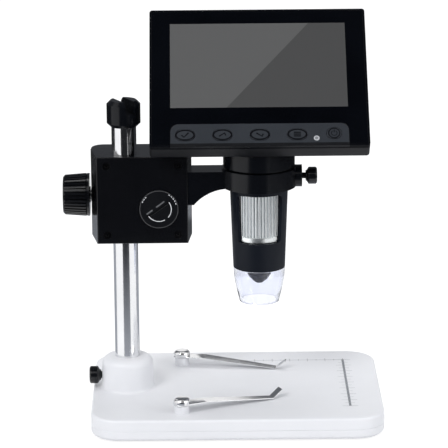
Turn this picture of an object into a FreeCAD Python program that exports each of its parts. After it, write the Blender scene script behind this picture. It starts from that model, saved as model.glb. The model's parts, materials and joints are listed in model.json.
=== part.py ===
import FreeCAD, Part
import math
import os
import re

import Sketcher

# LCD digital microscope on a post stand, millimetres, +Z up.
# The origin lies on the floor, under the middle of the whole object.
# Left and right are those of a person who looks at the screen, from -Y.

doc = FreeCAD.newDocument("lcd_microscope")
sheet = doc.addObject("Spreadsheet::Sheet", "Sizes")

SIZES = {
    # Base: two plastic shells, a steel ballast plate, screws and feet
    "base_width": 158, "base_depth": 118, "base_height": 12, "base_corner": 16,
    "top_cover_rise": 6.2, "base_wall": 2.2, "base_skin": 2.4, "base_floor": 2,
    "top_edge_round": 1.4, "bottom_edge_round": 2.6, "seam_bevel": 0.35,
    "foot_proud": 1, "foot_radius": 6, "foot_recess": 0.8, "foot_inset": 21,
    "base_screw_inset": 10.5, "base_screw_boss": 3.2, "base_screw_shank": 1.4,
    "base_screw_head": 2.6, "base_screw_head_rise": 1.6, "base_screw_sink": 1.2,
    "base_screw_bite": 5, "ballast_thick": 3, "ballast_gap": 2.5, "ballast_hole_gap": 1,
    # Post, its boss on the base and its slotted cap
    "post_x": -52.5, "post_edge": 19, "post_radius": 6.75, "post_wall": 1,
    "post_top": 165.4, "post_end_gap": 0.1, "post_fit": 0.05,
    "boss_radius": 14.5, "boss_height": 18, "boss_draft": 2, "boss_round": 4.5,
    "boss_foot_round": 1.5, "socket_radius": 10, "socket_floor": 1, "socket_gap": 1.2,
    "cap_radius": 9.15, "cap_low": 160.6, "cap_height": 14.4, "cap_low_bevel": 2,
    "cap_top_bevel": 2.1, "cap_slot_width": 5.9, "cap_slot_depth": 6.8, "cap_slot_turn": -62,
    # Thumbscrew that clamps the post in the boss
    "base_knob_z": 19.6, "base_knob_radius": 4.85, "base_knob_length": 6.3,
    "base_knob_gap": 1.3, "base_stud_radius": 1.95, "base_insert_wall": 1.1,
    "base_insert_length": 5, "base_insert_inset": 1, "knob_neck_rise": 1.1,
    "knob_neck_radius": 2.9, "knob_bevel": 0.7, "stud_grip": 4.4, "stud_tip_gap": 0.3,
    "thread_fit": 0.05, "press_fit": 0.02,
    # Slide clips on the stage
    "clip_back_x": -30.3, "clip_back_inset": 22.2, "clip_back_turn": -9.8,
    "clip_front_x": -30, "clip_front_inset": 12.5, "clip_front_turn": 24.7,
    "clip_boss_radius": 4, "clip_boss_height": 4.7, "clip_pin_radius": 1.5,
    "clip_pin_depth": 8, "clip_cap_radius": 4.6, "clip_cap_height": 3, "clip_cap_round": 1.9,
    "clip_steel": 0.6, "clip_flat": 13, "clip_reach": 53.7, "clip_toe": 5.8,
    "clip_toe_rise": 4.6, "clip_heel": 4.1, "clip_root_width": 7.6, "clip_toe_width": 4.6,
    "clip_gap": 0.3, "clip_seat_gap": 0.15, "clip_heel_bevel": 1,
    # Carriage case on the post
    "case_low": 97, "case_height": 48.3, "case_front": 9, "case_back": 22.6,
    "case_left": 14.9, "case_right": 34.1, "case_left_wide": 18.6, "case_right_wide": 36.3,
    "case_front_wall": 2.6, "case_wall": 2.4, "case_lid": 3, "case_back_round": 7,
    "case_edge_round": 0.6, "bush_wall": 0.9, "case_screw_span": 38.3,
    "case_screw_shank": 1.25, "case_screw_head": 2.1, "case_screw_head_rise": 1.3,
    "case_screw_sink": 1.7, "case_screw_boss": 2.3, "case_screw_bite": 6,
    "channel_gap": 0.4,
    # Focus drive: knob, shaft and friction roller behind the post
    "drive_z": 119.7, "roller_radius": 4.5, "roller_width": 8, "roller_gap": 0.05,
    "shaft_radius": 2.5, "shaft_fit": 0.05, "shaft_bush_wall": 1.5, "shaft_end_gap": 0.4,
    "knob_radius": 11.75, "knob_end_radius": 10.9, "knob_length": 14.5, "knob_gap": 0.8,
    "knob_flange": 1.4, "knob_end_bevel": 1.1, "knob_ribs": 36, "knob_groove": 0.55,
    "knob_groove_width": 0.9, "knob_hub_radius": 4.4, "knob_bore_depth": 11,
    "clip_ring_radius": 4.4, "clip_ring_thick": 0.7, "clip_ring_gap": 0.3,
    # Lock dial, its cam and the brake shoe
    "dial_from_post": 18.5, "dial_z": 116.2, "dial_radius": 10.8, "dial_gap": 0.25,
    "dial_thick": 1.5, "dial_sink": 1.4, "dial_back_gap": 0.15, "dial_slot_width": 1.1,
    "dial_slot_depth": 0.6, "dial_slot_length": 15, "dial_slot_turn": 35,
    "dial_shaft_radius": 3, "cam_radius": 5, "cam_offset": 0.4, "cam_length": 5,
    "cam_gap": 0.2, "shoe_gap": 0.45, "shoe_width": 8, "shoe_depth": 9, "shoe_guide": 1.5,
    "shoe_slack": 0.3, "shoe_channel": 1.2,
    # Holder arm with its ring, and the ring's thumbscrew
    "head_clear": 5, "ring_low": 127, "ring_height": 10.3, "ring_radius": 20.2,
    "seat_radius": 16, "seat_gap": 0.2, "arm_width": 16, "arm_top_drop": 0.9,
    "arm_root_drop": 19.2, "arm_arc_radius": 25.3, "lug_rise": 0.85, "lug_reach": 23.3,
    "arm_screw_rise": 4.6, "arm_screw_bite": 10, "arm_screw_sink": 0.8,
    "ring_knob_radius": 4.65, "ring_knob_length": 6.2, "ring_knob_gap": 2,
    "ring_stud_radius": 1.6, "ring_insert_wall": 1, "ring_insert_length": 4.5,
    # Screen housing, in the screen's own frame: across, up the face, out of the face
    "screen_lean": 45, "face_y": 2.7, "face_z": 186.4, "face_low": 43.6,
    "view_width": 95.04, "view_height": 53.86, "view_drop": 9.12, "view_margin": 1,
    "chin": 24.22, "panel_side": 5.23, "panel_rim": 6.67, "panel_thick": 2.9,
    "screen_side": 5.9, "screen_corner": 1.6, "frame_thick": 3, "frame_rim": 1,
    "glass_thick": 1.2, "glass_gap": 0.1, "shell_wall": 1.8, "shell_floor": 2,
    "shell_round": 1.6, "board_space": 1.6, "board_thick": 1.2, "board_rise": 1.3,
    "board_side": 2.65, "board_low_inset": 2.6, "board_high_inset": 13.6,
    "board_notch_gap": 0.5, "board_post": 2.5, "board_post_inset": 10.65,
    "board_post_up": 5, "shell_screw_inset": 3.75, "shell_screw_edge": 5.6,
    "shell_screw_boss": 2, "shell_screw_shank": 1, "shell_screw_head": 1.7,
    "shell_screw_sink": 1, "shell_screw_bite": 1.2,
    # Keypad: strip, buttons, switches and lamp
    "strip_inset": 11.15, "strip_height": 13.95, "strip_thick": 1.6, "strip_corner": 4.5,
    "key_rise": 7, "key_inset": 7.8, "menu_inset": 27.5, "key_width": 10.2,
    "key_height": 6.6, "key_proud": 0.25, "key_gap": 0.25, "key_flange": 0.5,
    "key_flange_thick": 0.8, "key_flange_gap": 0.3, "key_stem": 1.4, "power_inset": 7.9,
    "power_rise": 7.5, "power_width": 7.9, "lamp_inset": 17.3, "lamp_rise": 4.5,
    "lamp_radius": 1.6, "lamp_proud": 0.2, "switch_side": 6, "switch_height": 3.4,
    "switch_gap": 0.4, "hole_slack": 0.5,
    # Ports, battery and the light dimmer
    "usb_width": 7.6, "usb_height": 2.8, "usb_length": 5.4, "usb_rise": 12.6,
    "usb_wall": 0.5, "usb_mouth": 3.5, "card_width": 12, "card_length": 8,
    "card_rise": 14.1, "card_wall": 0.4, "card_mouth": 4, "port_inset": 0.3,
    "hump_half": 32, "hump_up": 17.6, "hump_height": 54, "hump_rise": 9, "hump_round": 4,
    "battery_side": 5, "battery_length": 38, "battery_up": 29, "battery_width": 22,
    "battery_thick": 6, "dimmer_radius": 6, "dimmer_thick": 2.6, "dimmer_proud": 1.6,
    "dimmer_up": 40, "dimmer_gap": 0.4, "dimmer_axle": 1.2, "dimmer_boss": 2.2,
    "dimmer_ribs": 24, "dimmer_rib_radius": 0.3, "dimmer_fit": 0.05,
    # Neck and barrel
    "neck_radius": 19.5, "neck_wall": 2.1, "neck_seam": 147.2, "collar_low": 138.2,
    "collar_floor": 2, "collar_step_radius": 17.7, "ring_rest_gap": 0.1,
    "barrel_flange": 17.2, "barrel_flange_rise": 1.5, "barrel_wall": 1.25,
    "barrel_top_radius": 15.8, "barrel_end_radius": 14.15, "barrel_end": 81.4,
    "window_low": 97.3, "window_high": 124.1, "window_plane": 9.2, "window_half": 12.3,
    "window_corner": 2.8, "ledge_rise": 1.6, "ledge_radius": 11.2,
    # Focus wheel, lens carrier, lights, nose and clear shroud
    "wheel_radius": 13.2, "wheel_bore": 10.6, "wheel_gap": 0.35, "wheel_ribs": 50,
    "wheel_groove": 0.5, "wheel_groove_width": 0.85, "wheel_band": 3.4,
    "carrier_radius": 10.5, "carrier_bore": 6.5, "carrier_low": 91, "carrier_height": 24,
    "lens_count": 2, "lens_thick": 2.6, "lens_lip": 1.2, "lens_gap": 11,
    "sensor_z": 131, "sensor_board_thick": 1.4, "sensor_side": 8, "sensor_rise": 1.6,
    "sensor_gap": 0.1, "light_board_thick": 1.2, "light_count": 8, "light_circle": 9.6,
    "light_radius": 1.5, "light_rise": 2.4, "light_board_gap": 0.15,
    "nose_radius": 6.35, "nose_bore": 4.6, "nose_shoulder": 78.4, "nose_tip": 72.8,
    "nose_tip_radius": 1.7, "nose_hole": 1,
    "shroud_spigot": 2.6, "shroud_wall": 1.1, "shroud_gap": 0.1, "shroud_mid": 68.6,
    "shroud_mid_radius": 12.35, "shroud_low": 62, "shroud_low_radius": 10.8,
    "shroud_bulge": 76, "shroud_bulge_radius": 13.75, "shroud_lip": 0.8,
}

SHEET_ROW_START = 1
for row, (alias, number) in enumerate(SIZES.items(), SHEET_ROW_START):
    sheet.set(f"A{row}", alias.replace("_", " "))
    sheet.set(f"B{row}", str(number))
    sheet.setAlias(f"B{row}", alias)
doc.recompute()

PARTS = {}
NAME = re.compile(r"\b[a-z][a-z_]+[a-z]\b(?!\()")
MIN_CHANGE = 1e-3


def bound(text):
    """The expression with every size name pointed at its cell."""
    return NAME.sub(lambda found: "Sizes." + found.group(0), str(text))


def value(text):
    result = sheet.evalExpression(bound(text))
    return float(getattr(result, "Value", result))


def bind(item, **sizes):
    for prop, text in sizes.items():
        item.setExpression(prop, bound(text))


TURNS = {
    "z": FreeCAD.Rotation(),
    "x": FreeCAD.Rotation(FreeCAD.Vector(0, 1, 0), 90),
    "-x": FreeCAD.Rotation(FreeCAD.Vector(0, 1, 0), -90),
    "y": FreeCAD.Rotation(FreeCAD.Vector(1, 0, 0), -90),
}


def place(item, at=("0", "0", "0"), along="z"):
    """Put an item at a point given by three expressions, with its own Z along an axis."""
    item.Placement = FreeCAD.Placement(FreeCAD.Vector(), TURNS[along])
    for axis, text in zip("xyz", at):
        if str(text) != "0":
            item.setExpression(f"Placement.Base.{axis}", bound(text))
    return item


def turn_about_z(item, at, angle):
    item.Placement = FreeCAD.Placement(
        FreeCAD.Vector(), FreeCAD.Rotation(FreeCAD.Vector(0, 0, 1), value(angle)))
    item.setExpression("Placement.Rotation.Angle", bound(angle))
    for axis, text in zip("xyz", at):
        if str(text) != "0":
            item.setExpression(f"Placement.Base.{axis}", bound(text))
    return item


def lean_back(item):
    """Carry an item from the screen's own frame to its leaning place."""
    lean = "90 - screen_lean"
    item.Placement = FreeCAD.Placement(
        FreeCAD.Vector(), FreeCAD.Rotation(FreeCAD.Vector(1, 0, 0), value(lean)))
    item.setExpression("Placement.Rotation.Angle", bound(lean))
    bind(item, **{"Placement.Base.x": HEAD_X, "Placement.Base.y": "face_y",
                  "Placement.Base.z": "face_z"})
    return item


def cylinder(name, radius, height, at=("0", "0", "0"), along="z"):
    item = doc.addObject("Part::Cylinder", name)
    bind(item, Radius=radius, Height=height)
    return place(item, at, along)


def block(name, low, size):
    item = doc.addObject("Part::Box", name)
    bind(item, Length=size[0], Width=size[1], Height=size[2])
    return place(item, low)


def fuse(name, *items):
    item = doc.addObject("Part::MultiFuse", name)
    item.Shapes = list(items)
    return item


def cut(name, base, *tools):
    item = doc.addObject("Part::Cut", name)
    item.Base = base
    item.Tool = tools[0] if len(tools) == 1 else fuse(name + "_tools", *tools)
    return item


def common(name, first, second):
    item = doc.addObject("Part::MultiCommon", name)
    item.Shapes = [first, second]
    return item


def group(name, items):
    item = doc.addObject("Part::Compound", name)
    item.Links = list(items)
    return item


def finished(node, item):
    item.Label = node
    PARTS[node] = item
    return item


def new_body(name):
    return doc.addObject("PartDesign::Body", name)


def origin_plane(body, role):
    return next(f for f in body.Origin.OriginFeatures if f.Role == role)


def new_sketch(body, name, role, offset):
    sketch = body.newObject("Sketcher::SketchObject", name)
    sketch.AttachmentSupport = [(origin_plane(body, role), "")]
    sketch.MapMode = "FlatFace"
    if str(offset) != "0":
        sketch.setExpression("AttachmentOffset.Base.z", bound(offset))
    return sketch


def pin_point(sketch, geometry, vertex, across, up):
    """Hold one sketch point at a place given by two expressions."""
    for kind, text in (("DistanceX", across), ("DistanceY", up)):
        index = sketch.addConstraint(
            Sketcher.Constraint(kind, -1, 1, geometry, vertex, value(text)))
        sketch.setExpression(f"Constraints[{index}]", bound(text))


def outline(body, name, role, points, offset="0"):
    """A closed outline of straight lines through points given as expressions."""
    sketch = new_sketch(body, name, role, offset)
    places = [FreeCAD.Vector(value(a), value(b), 0) for a, b in points]
    count = len(places)
    for i in range(count):
        sketch.addGeometry(Part.LineSegment(places[i], places[(i + 1) % count]), False)
    for i in range(count):
        sketch.addConstraint(Sketcher.Constraint("Coincident", i, 2, (i + 1) % count, 1))
    for i, (across, up) in enumerate(points):
        pin_point(sketch, i, 1, across, up)
    return sketch


def rings(body, name, role, circles, offset="0"):
    """Circles given as (across, up, radius) expressions."""
    sketch = new_sketch(body, name, role, offset)
    for i, (across, up, radius) in enumerate(circles):
        centre = FreeCAD.Vector(value(across), value(up), 0)
        sketch.addGeometry(Part.Circle(centre, FreeCAD.Vector(0, 0, 1), value(radius)), False)
        pin_point(sketch, i, 3, across, up)
        index = sketch.addConstraint(Sketcher.Constraint("Radius", i, value(radius)))
        sketch.setExpression(f"Constraints[{index}]", bound(radius))
    return sketch


def rounded(body, name, role, left, right, low, high, radius, offset="0"):
    """A rectangle with four round corners, its sides given as expressions."""
    sketch = new_sketch(body, name, role, offset)
    x0, x1, y0, y1, r = (value(text) for text in (left, right, low, high, radius))
    centres = [(x0 + r, y0 + r), (x1 - r, y0 + r), (x1 - r, y1 - r), (x0 + r, y1 - r)]
    quarter = math.pi / 2
    for i, (cx, cy) in enumerate(centres):
        circle = Part.Circle(FreeCAD.Vector(cx, cy, 0), FreeCAD.Vector(0, 0, 1), r)
        begin = (2 + i) * quarter
        sketch.addGeometry(Part.ArcOfCircle(circle, begin, begin + quarter), False)
    sides = [((x0 + r, y0), (x1 - r, y0)), ((x1, y0 + r), (x1, y1 - r)),
             ((x1 - r, y1), (x0 + r, y1)), ((x0, y1 - r), (x0, y0 + r))]
    for begin, end in sides:
        sketch.addGeometry(
            Part.LineSegment(FreeCAD.Vector(*begin, 0), FreeCAD.Vector(*end, 0)), False)
    for i in range(4):
        sketch.addConstraint(Sketcher.Constraint("Tangent", i, 2, 4 + i, 1))
        sketch.addConstraint(Sketcher.Constraint("Tangent", 4 + i, 2, (i + 1) % 4, 1))
    sketch.addConstraint(Sketcher.Constraint("Horizontal", 4))
    sketch.addConstraint(Sketcher.Constraint("Vertical", 5))
    sketch.addConstraint(Sketcher.Constraint("Horizontal", 6))
    sketch.addConstraint(Sketcher.Constraint("Vertical", 7))
    index = sketch.addConstraint(Sketcher.Constraint("Radius", 0, r))
    sketch.setExpression(f"Constraints[{index}]", bound(radius))
    for i in range(1, 4):
        sketch.addConstraint(Sketcher.Constraint("Equal", 0, i))
    for kind, line, text, at in (("DistanceY", 4, low, y0), ("DistanceX", 5, right, x1),
                                 ("DistanceY", 6, high, y1), ("DistanceX", 7, left, x0)):
        index = sketch.addConstraint(Sketcher.Constraint(kind, -1, 1, line, 1, at))
        sketch.setExpression(f"Constraints[{index}]", bound(text))
    return sketch


def slab(body, name, role, left, right, low, high, radius, offset="0"):
    """A rounded rectangle, or a sharp one where the radius is 0."""
    if str(radius) != "0":
        return rounded(body, name, role, left, right, low, high, radius, offset)
    corners = [(left, low), (right, low), (right, high), (left, high)]
    return outline(body, name, role, corners, offset)


def solid_volume(body):
    return body.Shape.Volume if not body.Shape.isNull() else 0.0


def pad(body, sketch, length, flip=False, draft=None):
    before = solid_volume(body)
    feature = body.newObject("PartDesign::Pad", sketch.Name + "_pad")
    feature.Profile = sketch
    feature.Reversed = flip
    feature.setExpression("Length", bound(length))
    if draft:
        feature.setExpression("TaperAngle", bound(draft))
    doc.recompute()
    assert solid_volume(body) > before + MIN_CHANGE, sketch.Name + " adds nothing"
    return feature


def pocket(body, sketch, length, flip=False):
    before = solid_volume(body)
    feature = body.newObject("PartDesign::Pocket", sketch.Name + "_cut")
    feature.Profile = sketch
    feature.Reversed = flip
    feature.setExpression("Length", bound(length))
    doc.recompute()
    assert solid_volume(body) < before - MIN_CHANGE, sketch.Name + " cuts nothing"
    return feature


def turned(body, sketch):
    feature = body.newObject("PartDesign::Revolution", sketch.Name + "_turned")
    feature.Profile = sketch
    feature.ReferenceAxis = (sketch, ["V_Axis"])
    feature.Angle = 360
    doc.recompute()
    return feature


def repeat_round(body, feature, count):
    """Repeat a feature round the body's Z axis."""
    pattern = body.newObject("PartDesign::PolarPattern", feature.Name + "_round")
    pattern.Originals = [feature]
    pattern.Axis = (origin_plane(body, "Z_Axis"), [""])
    pattern.Angle = 360
    pattern.setExpression("Occurrences", bound(count))
    body.Tip = pattern
    doc.recompute()
    return pattern


def edges_where(shape, test):
    return [f"Edge{i}" for i, edge in enumerate(shape.Edges, 1) if test(edge)]


def level_at(height, reach=1e-3):
    """A test for edges that lie level at a height."""
    return lambda edge: (abs(edge.BoundBox.ZMin - height) < reach
                         and abs(edge.BoundBox.ZMax - height) < reach)


def round_edges(body, name, test, radius, kind="Fillet"):
    base = body.Tip
    names = edges_where(base.Shape, test)
    assert names, name + " finds no edge"
    feature = body.newObject("PartDesign::" + kind, name)
    feature.Base = (base, names)
    feature.setExpression("Radius" if kind == "Fillet" else "Size", bound(radius))
    doc.recompute()
    return feature


# Places that several pieces share, worked out from the sizes
BASE_X = "(post_x - post_edge + base_width / 2)"
HALF_W = "(view_width / 2 + panel_side + screen_side)"
HEAD_X = f"(post_x + cap_radius + head_clear + {HALF_W})"
STAGE = "(foot_proud + base_height)"
SEAM = "(foot_proud + base_height - top_cover_rise)"
BASE_CEILING = "(foot_proud + base_height - base_skin)"
BASE_LEFT = f"({BASE_X} - base_width / 2)"
BASE_RIGHT = f"({BASE_X} + base_width / 2)"
FLOOR_TOP = "(foot_proud + base_floor)"
SOCKET_LOW = f"({FLOOR_TOP} + socket_gap)"
POST_LOW = f"({SOCKET_LOW} + socket_floor + post_end_gap)"
POST_BORE = "(post_radius + post_fit)"
SHAFT_Y = "(post_radius + roller_gap + roller_radius)"
CASE_TOP = "(case_low + case_height)"
CASE_MID_Z = "(case_low + case_height / 2)"
CASE_MID_X = "(post_x + (case_right - case_left) / 2)"
DIAL_X = "(post_x + dial_from_post)"
RING_TOP = "(ring_low + ring_height)"
RING_MID = "(ring_low + ring_height / 2)"


def base_screw_places():
    """Six screws: four near the corners and one in the middle of each long side."""
    across = "(base_width / 2 - base_screw_inset)"
    along = "(base_depth / 2 - base_screw_inset)"
    return [(f"{BASE_X} + {i} * {across}", f"{j} * {along}") for i in (-1, 0, 1) for j in (-1, 1)]


def foot_places():
    across = "(base_width / 2 - foot_inset)"
    along = "(base_depth / 2 - foot_inset)"
    return [(f"{BASE_X} + {i} * {across}", f"{j} * {along}") for i in (-1, 1) for j in (-1, 1)]


def clip_places():
    """The rear and the front clip's pin."""
    return [(f"(clip_back_x + {BASE_X})", "(base_depth / 2 - clip_back_inset)"),
            (f"(clip_front_x + {BASE_X})", "(clip_front_inset - base_depth / 2)")]


def base_outline(body, name, inset, offset):
    inset = f"({inset})"
    return rounded(body, name, "XY_Plane", f"{BASE_LEFT} + {inset}", f"{BASE_RIGHT} - {inset}",
                   f"-base_depth / 2 + {inset}", f"base_depth / 2 - {inset}",
                   f"base_corner - {inset}", offset)


def make_base_top_cover():
    body = new_body("base_top_cover_body")
    pad(body, base_outline(body, "top_cover_plan", "0", SEAM), "top_cover_rise")
    round_edges(body, "top_cover_edge", level_at(value(STAGE)), "top_edge_round")
    hollow = base_outline(body, "top_cover_hollow", "base_wall", SEAM)
    pocket(body, hollow, "top_cover_rise - base_skin", flip=True)
    boss = rings(body, "post_boss", "XY_Plane", [("post_x", "0", "boss_radius")], STAGE)
    pad(body, boss, "boss_height", draft="-boss_draft")
    round_edges(body, "post_boss_rim", level_at(value(f"{STAGE} + boss_height")), "boss_round")
    junction = value("boss_radius")
    stage_edge = level_at(value(STAGE))
    round_edges(body, "post_boss_foot",
                lambda edge: stage_edge(edge) and hasattr(edge.Curve, "Radius")
                and abs(edge.Curve.Radius - junction) < MIN_CHANGE, "boss_foot_round")
    clips = [(x, y, "clip_boss_radius") for x, y in clip_places()]
    pad(body, rings(body, "clip_bosses", "XY_Plane", clips, STAGE), "clip_boss_height")
    socket = rings(body, "post_socket", "XY_Plane", [("post_x", "0", "socket_radius")], SOCKET_LOW)
    pad(body, socket, f"{BASE_CEILING} - {SOCKET_LOW}")
    bosses = [(x, y, "base_screw_boss") for x, y in base_screw_places()]
    pad(body, rings(body, "cover_screw_bosses", "XY_Plane", bosses, SEAM),
        f"{BASE_CEILING} - {SEAM}")
    pin_low = f"({STAGE} + clip_boss_height - clip_pin_depth - clip_gap)"
    pad(body, rings(body, "clip_pin_sockets", "XY_Plane", clips, f"{pin_low} - base_skin / 2"),
        f"{BASE_CEILING} - {pin_low} + base_skin / 2")
    bore = rings(body, "post_bore", "XY_Plane", [("post_x", "0", POST_BORE)],
                 f"{SOCKET_LOW} + socket_floor")
    pocket(body, bore, "boss_height + base_height", flip=True)
    pilots = [(x, y, "base_screw_shank + press_fit") for x, y in base_screw_places()]
    pocket(body, rings(body, "cover_screw_pilots", "XY_Plane", pilots, SEAM),
           "base_screw_bite - base_floor", flip=True)
    holes = [(x, y, "clip_pin_radius + post_fit") for x, y in clip_places()]
    pocket(body, rings(body, "clip_pin_holes", "XY_Plane", holes, pin_low),
           "clip_pin_depth + clip_boss_height", flip=True)
    insert = cylinder("base_insert_hole", "base_stud_radius + thread_fit + base_insert_wall",
                      "base_insert_length",
                      ("post_x - boss_radius + base_insert_inset", "0", "base_knob_z"), "x")
    passage = cylinder("base_stud_hole", "base_stud_radius + thread_fit", "boss_radius",
                       ("post_x - boss_radius - base_knob_gap", "0", "base_knob_z"), "x")
    finished("base_top_cover", cut("base_top_cover", body, insert, passage))


def make_base_bottom_cover():
    body = new_body("base_bottom_cover")
    pad(body, base_outline(body, "bottom_cover_plan", "0", "foot_proud"),
        f"{SEAM} - foot_proud")
    round_edges(body, "bottom_cover_edge", level_at(value("foot_proud")), "bottom_edge_round")
    round_edges(body, "cover_seam_bevel", level_at(value(SEAM)), "seam_bevel", "Chamfer")
    hollow = base_outline(body, "bottom_cover_hollow", "base_wall + seam_bevel", SEAM)
    pocket(body, hollow, f"{SEAM} - {FLOOR_TOP}")
    bosses = [(x, y, "base_screw_boss") for x, y in base_screw_places()]
    pad(body, rings(body, "bottom_screw_bosses", "XY_Plane", bosses, FLOOR_TOP),
        f"{SEAM} - {FLOOR_TOP}")
    shanks = [(x, y, "base_screw_shank + press_fit") for x, y in base_screw_places()]
    pocket(body, rings(body, "bottom_screw_holes", "XY_Plane", shanks, "foot_proud"),
           "base_height", flip=True)
    heads = [(x, y, "base_screw_head + press_fit") for x, y in base_screw_places()]
    pocket(body, rings(body, "bottom_screw_sinks", "XY_Plane", heads, "foot_proud"),
           "base_screw_sink + base_screw_head_rise", flip=True)
    feet = [(x, y, "foot_radius + press_fit") for x, y in foot_places()]
    pocket(body, rings(body, "foot_recesses", "XY_Plane", feet, "foot_proud"),
           "foot_recess", flip=True)
    finished("base_bottom_cover", body)


def make_base_ballast_plate():
    body = new_body("base_ballast_plate")
    pad(body, base_outline(body, "ballast_plan", "base_wall + ballast_gap", FLOOR_TOP),
        "ballast_thick")
    holes = [(x, y, "base_screw_boss + ballast_hole_gap") for x, y in base_screw_places()]
    holes.append(("post_x", "0", "socket_radius + ballast_hole_gap"))
    pocket(body, rings(body, "ballast_holes", "XY_Plane", holes, FLOOR_TOP), "ballast_thick",
           flip=True)
    finished("base_ballast_plate", body)


def make_base_screws():
    screws = []
    for i, (x, y) in enumerate(base_screw_places()):
        head_low = "foot_proud + base_screw_sink"
        head = cylinder(f"base_screw_head_{i}", "base_screw_head", "base_screw_head_rise",
                        (x, y, head_low))
        shank = cylinder(f"base_screw_shank_{i}", "base_screw_shank",
                         f"{SEAM} + base_screw_bite - base_floor - press_fit - ({head_low})",
                         (x, y, head_low))
        screws.append(fuse(f"base_screw_{i}", head, shank))
    finished("base_screws", group("base_screws", screws))


def make_rubber_feet():
    feet = [cylinder(f"foot_{i}", "foot_radius", "foot_proud + foot_recess", (x, y, "0"))
            for i, (x, y) in enumerate(foot_places())]
    finished("rubber_feet", group("rubber_feet", feet))


def make_base_insert():
    outer = cylinder("base_insert_outer", "base_stud_radius + thread_fit + base_insert_wall",
                     "base_insert_length",
                     ("post_x - boss_radius + base_insert_inset", "0", "base_knob_z"), "x")
    inner = cylinder("base_insert_thread", "base_stud_radius + thread_fit", "boss_radius",
                     ("post_x - boss_radius", "0", "base_knob_z"), "x")
    finished("base_insert", cut("base_insert", outer, inner))


def thumbscrew(prefix, radius, length, stud_radius, at, along):
    """The moulded head of a thumbscrew: a neck, a bevelled grip and a socket for its stud."""
    body = new_body(prefix + "_head")
    points = [("0", "0"), ("knob_neck_radius", "0"), ("knob_neck_radius", "knob_neck_rise / 2"),
              (radius, f"knob_neck_rise / 2 + {radius} - knob_neck_radius - knob_bevel"),
              (radius, f"{length} - knob_bevel"), (f"{radius} - knob_bevel", length),
              ("0", length)]
    turned(body, outline(body, prefix + "_head_profile", "XZ_Plane", points))
    socket = rings(body, prefix + "_stud_socket", "XY_Plane",
                   [("0", "0", f"{stud_radius} + press_fit")], "0")
    pocket(body, socket, "stud_grip", flip=True)
    place(body, at, along)
    finished(prefix + "_head", body)


def make_base_thumbscrew():
    inner_end = "post_x - boss_radius + base_insert_inset - base_knob_gap"
    thumbscrew("base_thumbscrew", "base_knob_radius", "base_knob_length", "base_stud_radius",
               (inner_end, "0", "base_knob_z"), "-x")
    tip = "(post_x - post_radius - stud_tip_gap)"
    stud = cylinder("base_thumbscrew_stud", "base_stud_radius",
                    f"{tip} - ({inner_end}) + stud_grip - press_fit", (tip, "0", "base_knob_z"), "-x")
    finished("base_thumbscrew_stud", stud)


def make_post_tube():
    outer = cylinder("post_outer", "post_radius", f"post_top - {POST_LOW}",
                     ("post_x", "0", POST_LOW))
    inner = cylinder("post_inner", "post_radius - post_wall", "post_top", ("post_x", "0", "0"))
    finished("post_tube", cut("post_tube", outer, inner))


def make_post_cap():
    body = new_body("post_cap_body")
    points = [("0", "0"), ("cap_radius - cap_low_bevel", "0"), ("cap_radius", "cap_low_bevel"),
              ("cap_radius", "cap_height - cap_top_bevel"),
              ("cap_radius - cap_top_bevel", "cap_height"), ("0", "cap_height")]
    turned(body, outline(body, "cap_profile", "XZ_Plane", points))
    bore = rings(body, "cap_bore", "XY_Plane", [("0", "0", "post_radius + press_fit")], "0")
    pocket(body, bore, "post_top - cap_low + press_fit", flip=True)
    slot = slab(body, "cap_slot", "XY_Plane", "-cap_radius * 2", "cap_radius * 2",
                "-cap_slot_width / 2", "cap_slot_width / 2", "0", "cap_height")
    pocket(body, slot, "cap_slot_depth")
    turn_about_z(body, ("post_x", "0", "cap_low"), "cap_slot_turn")
    finished("post_cap", body)


CLIP_SEAT = f"({STAGE} + clip_boss_height + clip_seat_gap)"


def clip_strip_profile(body, name):
    """Side view of a clip from its pin: level, sloping down, then a toe turned up."""
    drop = "(clip_boss_height + clip_seat_gap - clip_gap)"
    top = "clip_steel"
    points = [("-clip_heel", "0"), ("clip_flat", "0"), ("clip_reach", f"-{drop}"),
              ("clip_reach + clip_toe", f"clip_toe_rise - {drop}"),
              ("clip_reach + clip_toe - clip_steel", f"clip_toe_rise - {drop} + {top} / 2"),
              ("clip_reach - clip_steel / 4", f"{top} - {drop}"),
              ("clip_flat + clip_steel / 8", top), ("-clip_heel", top)]
    return outline(body, name, "XZ_Plane", points)


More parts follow.
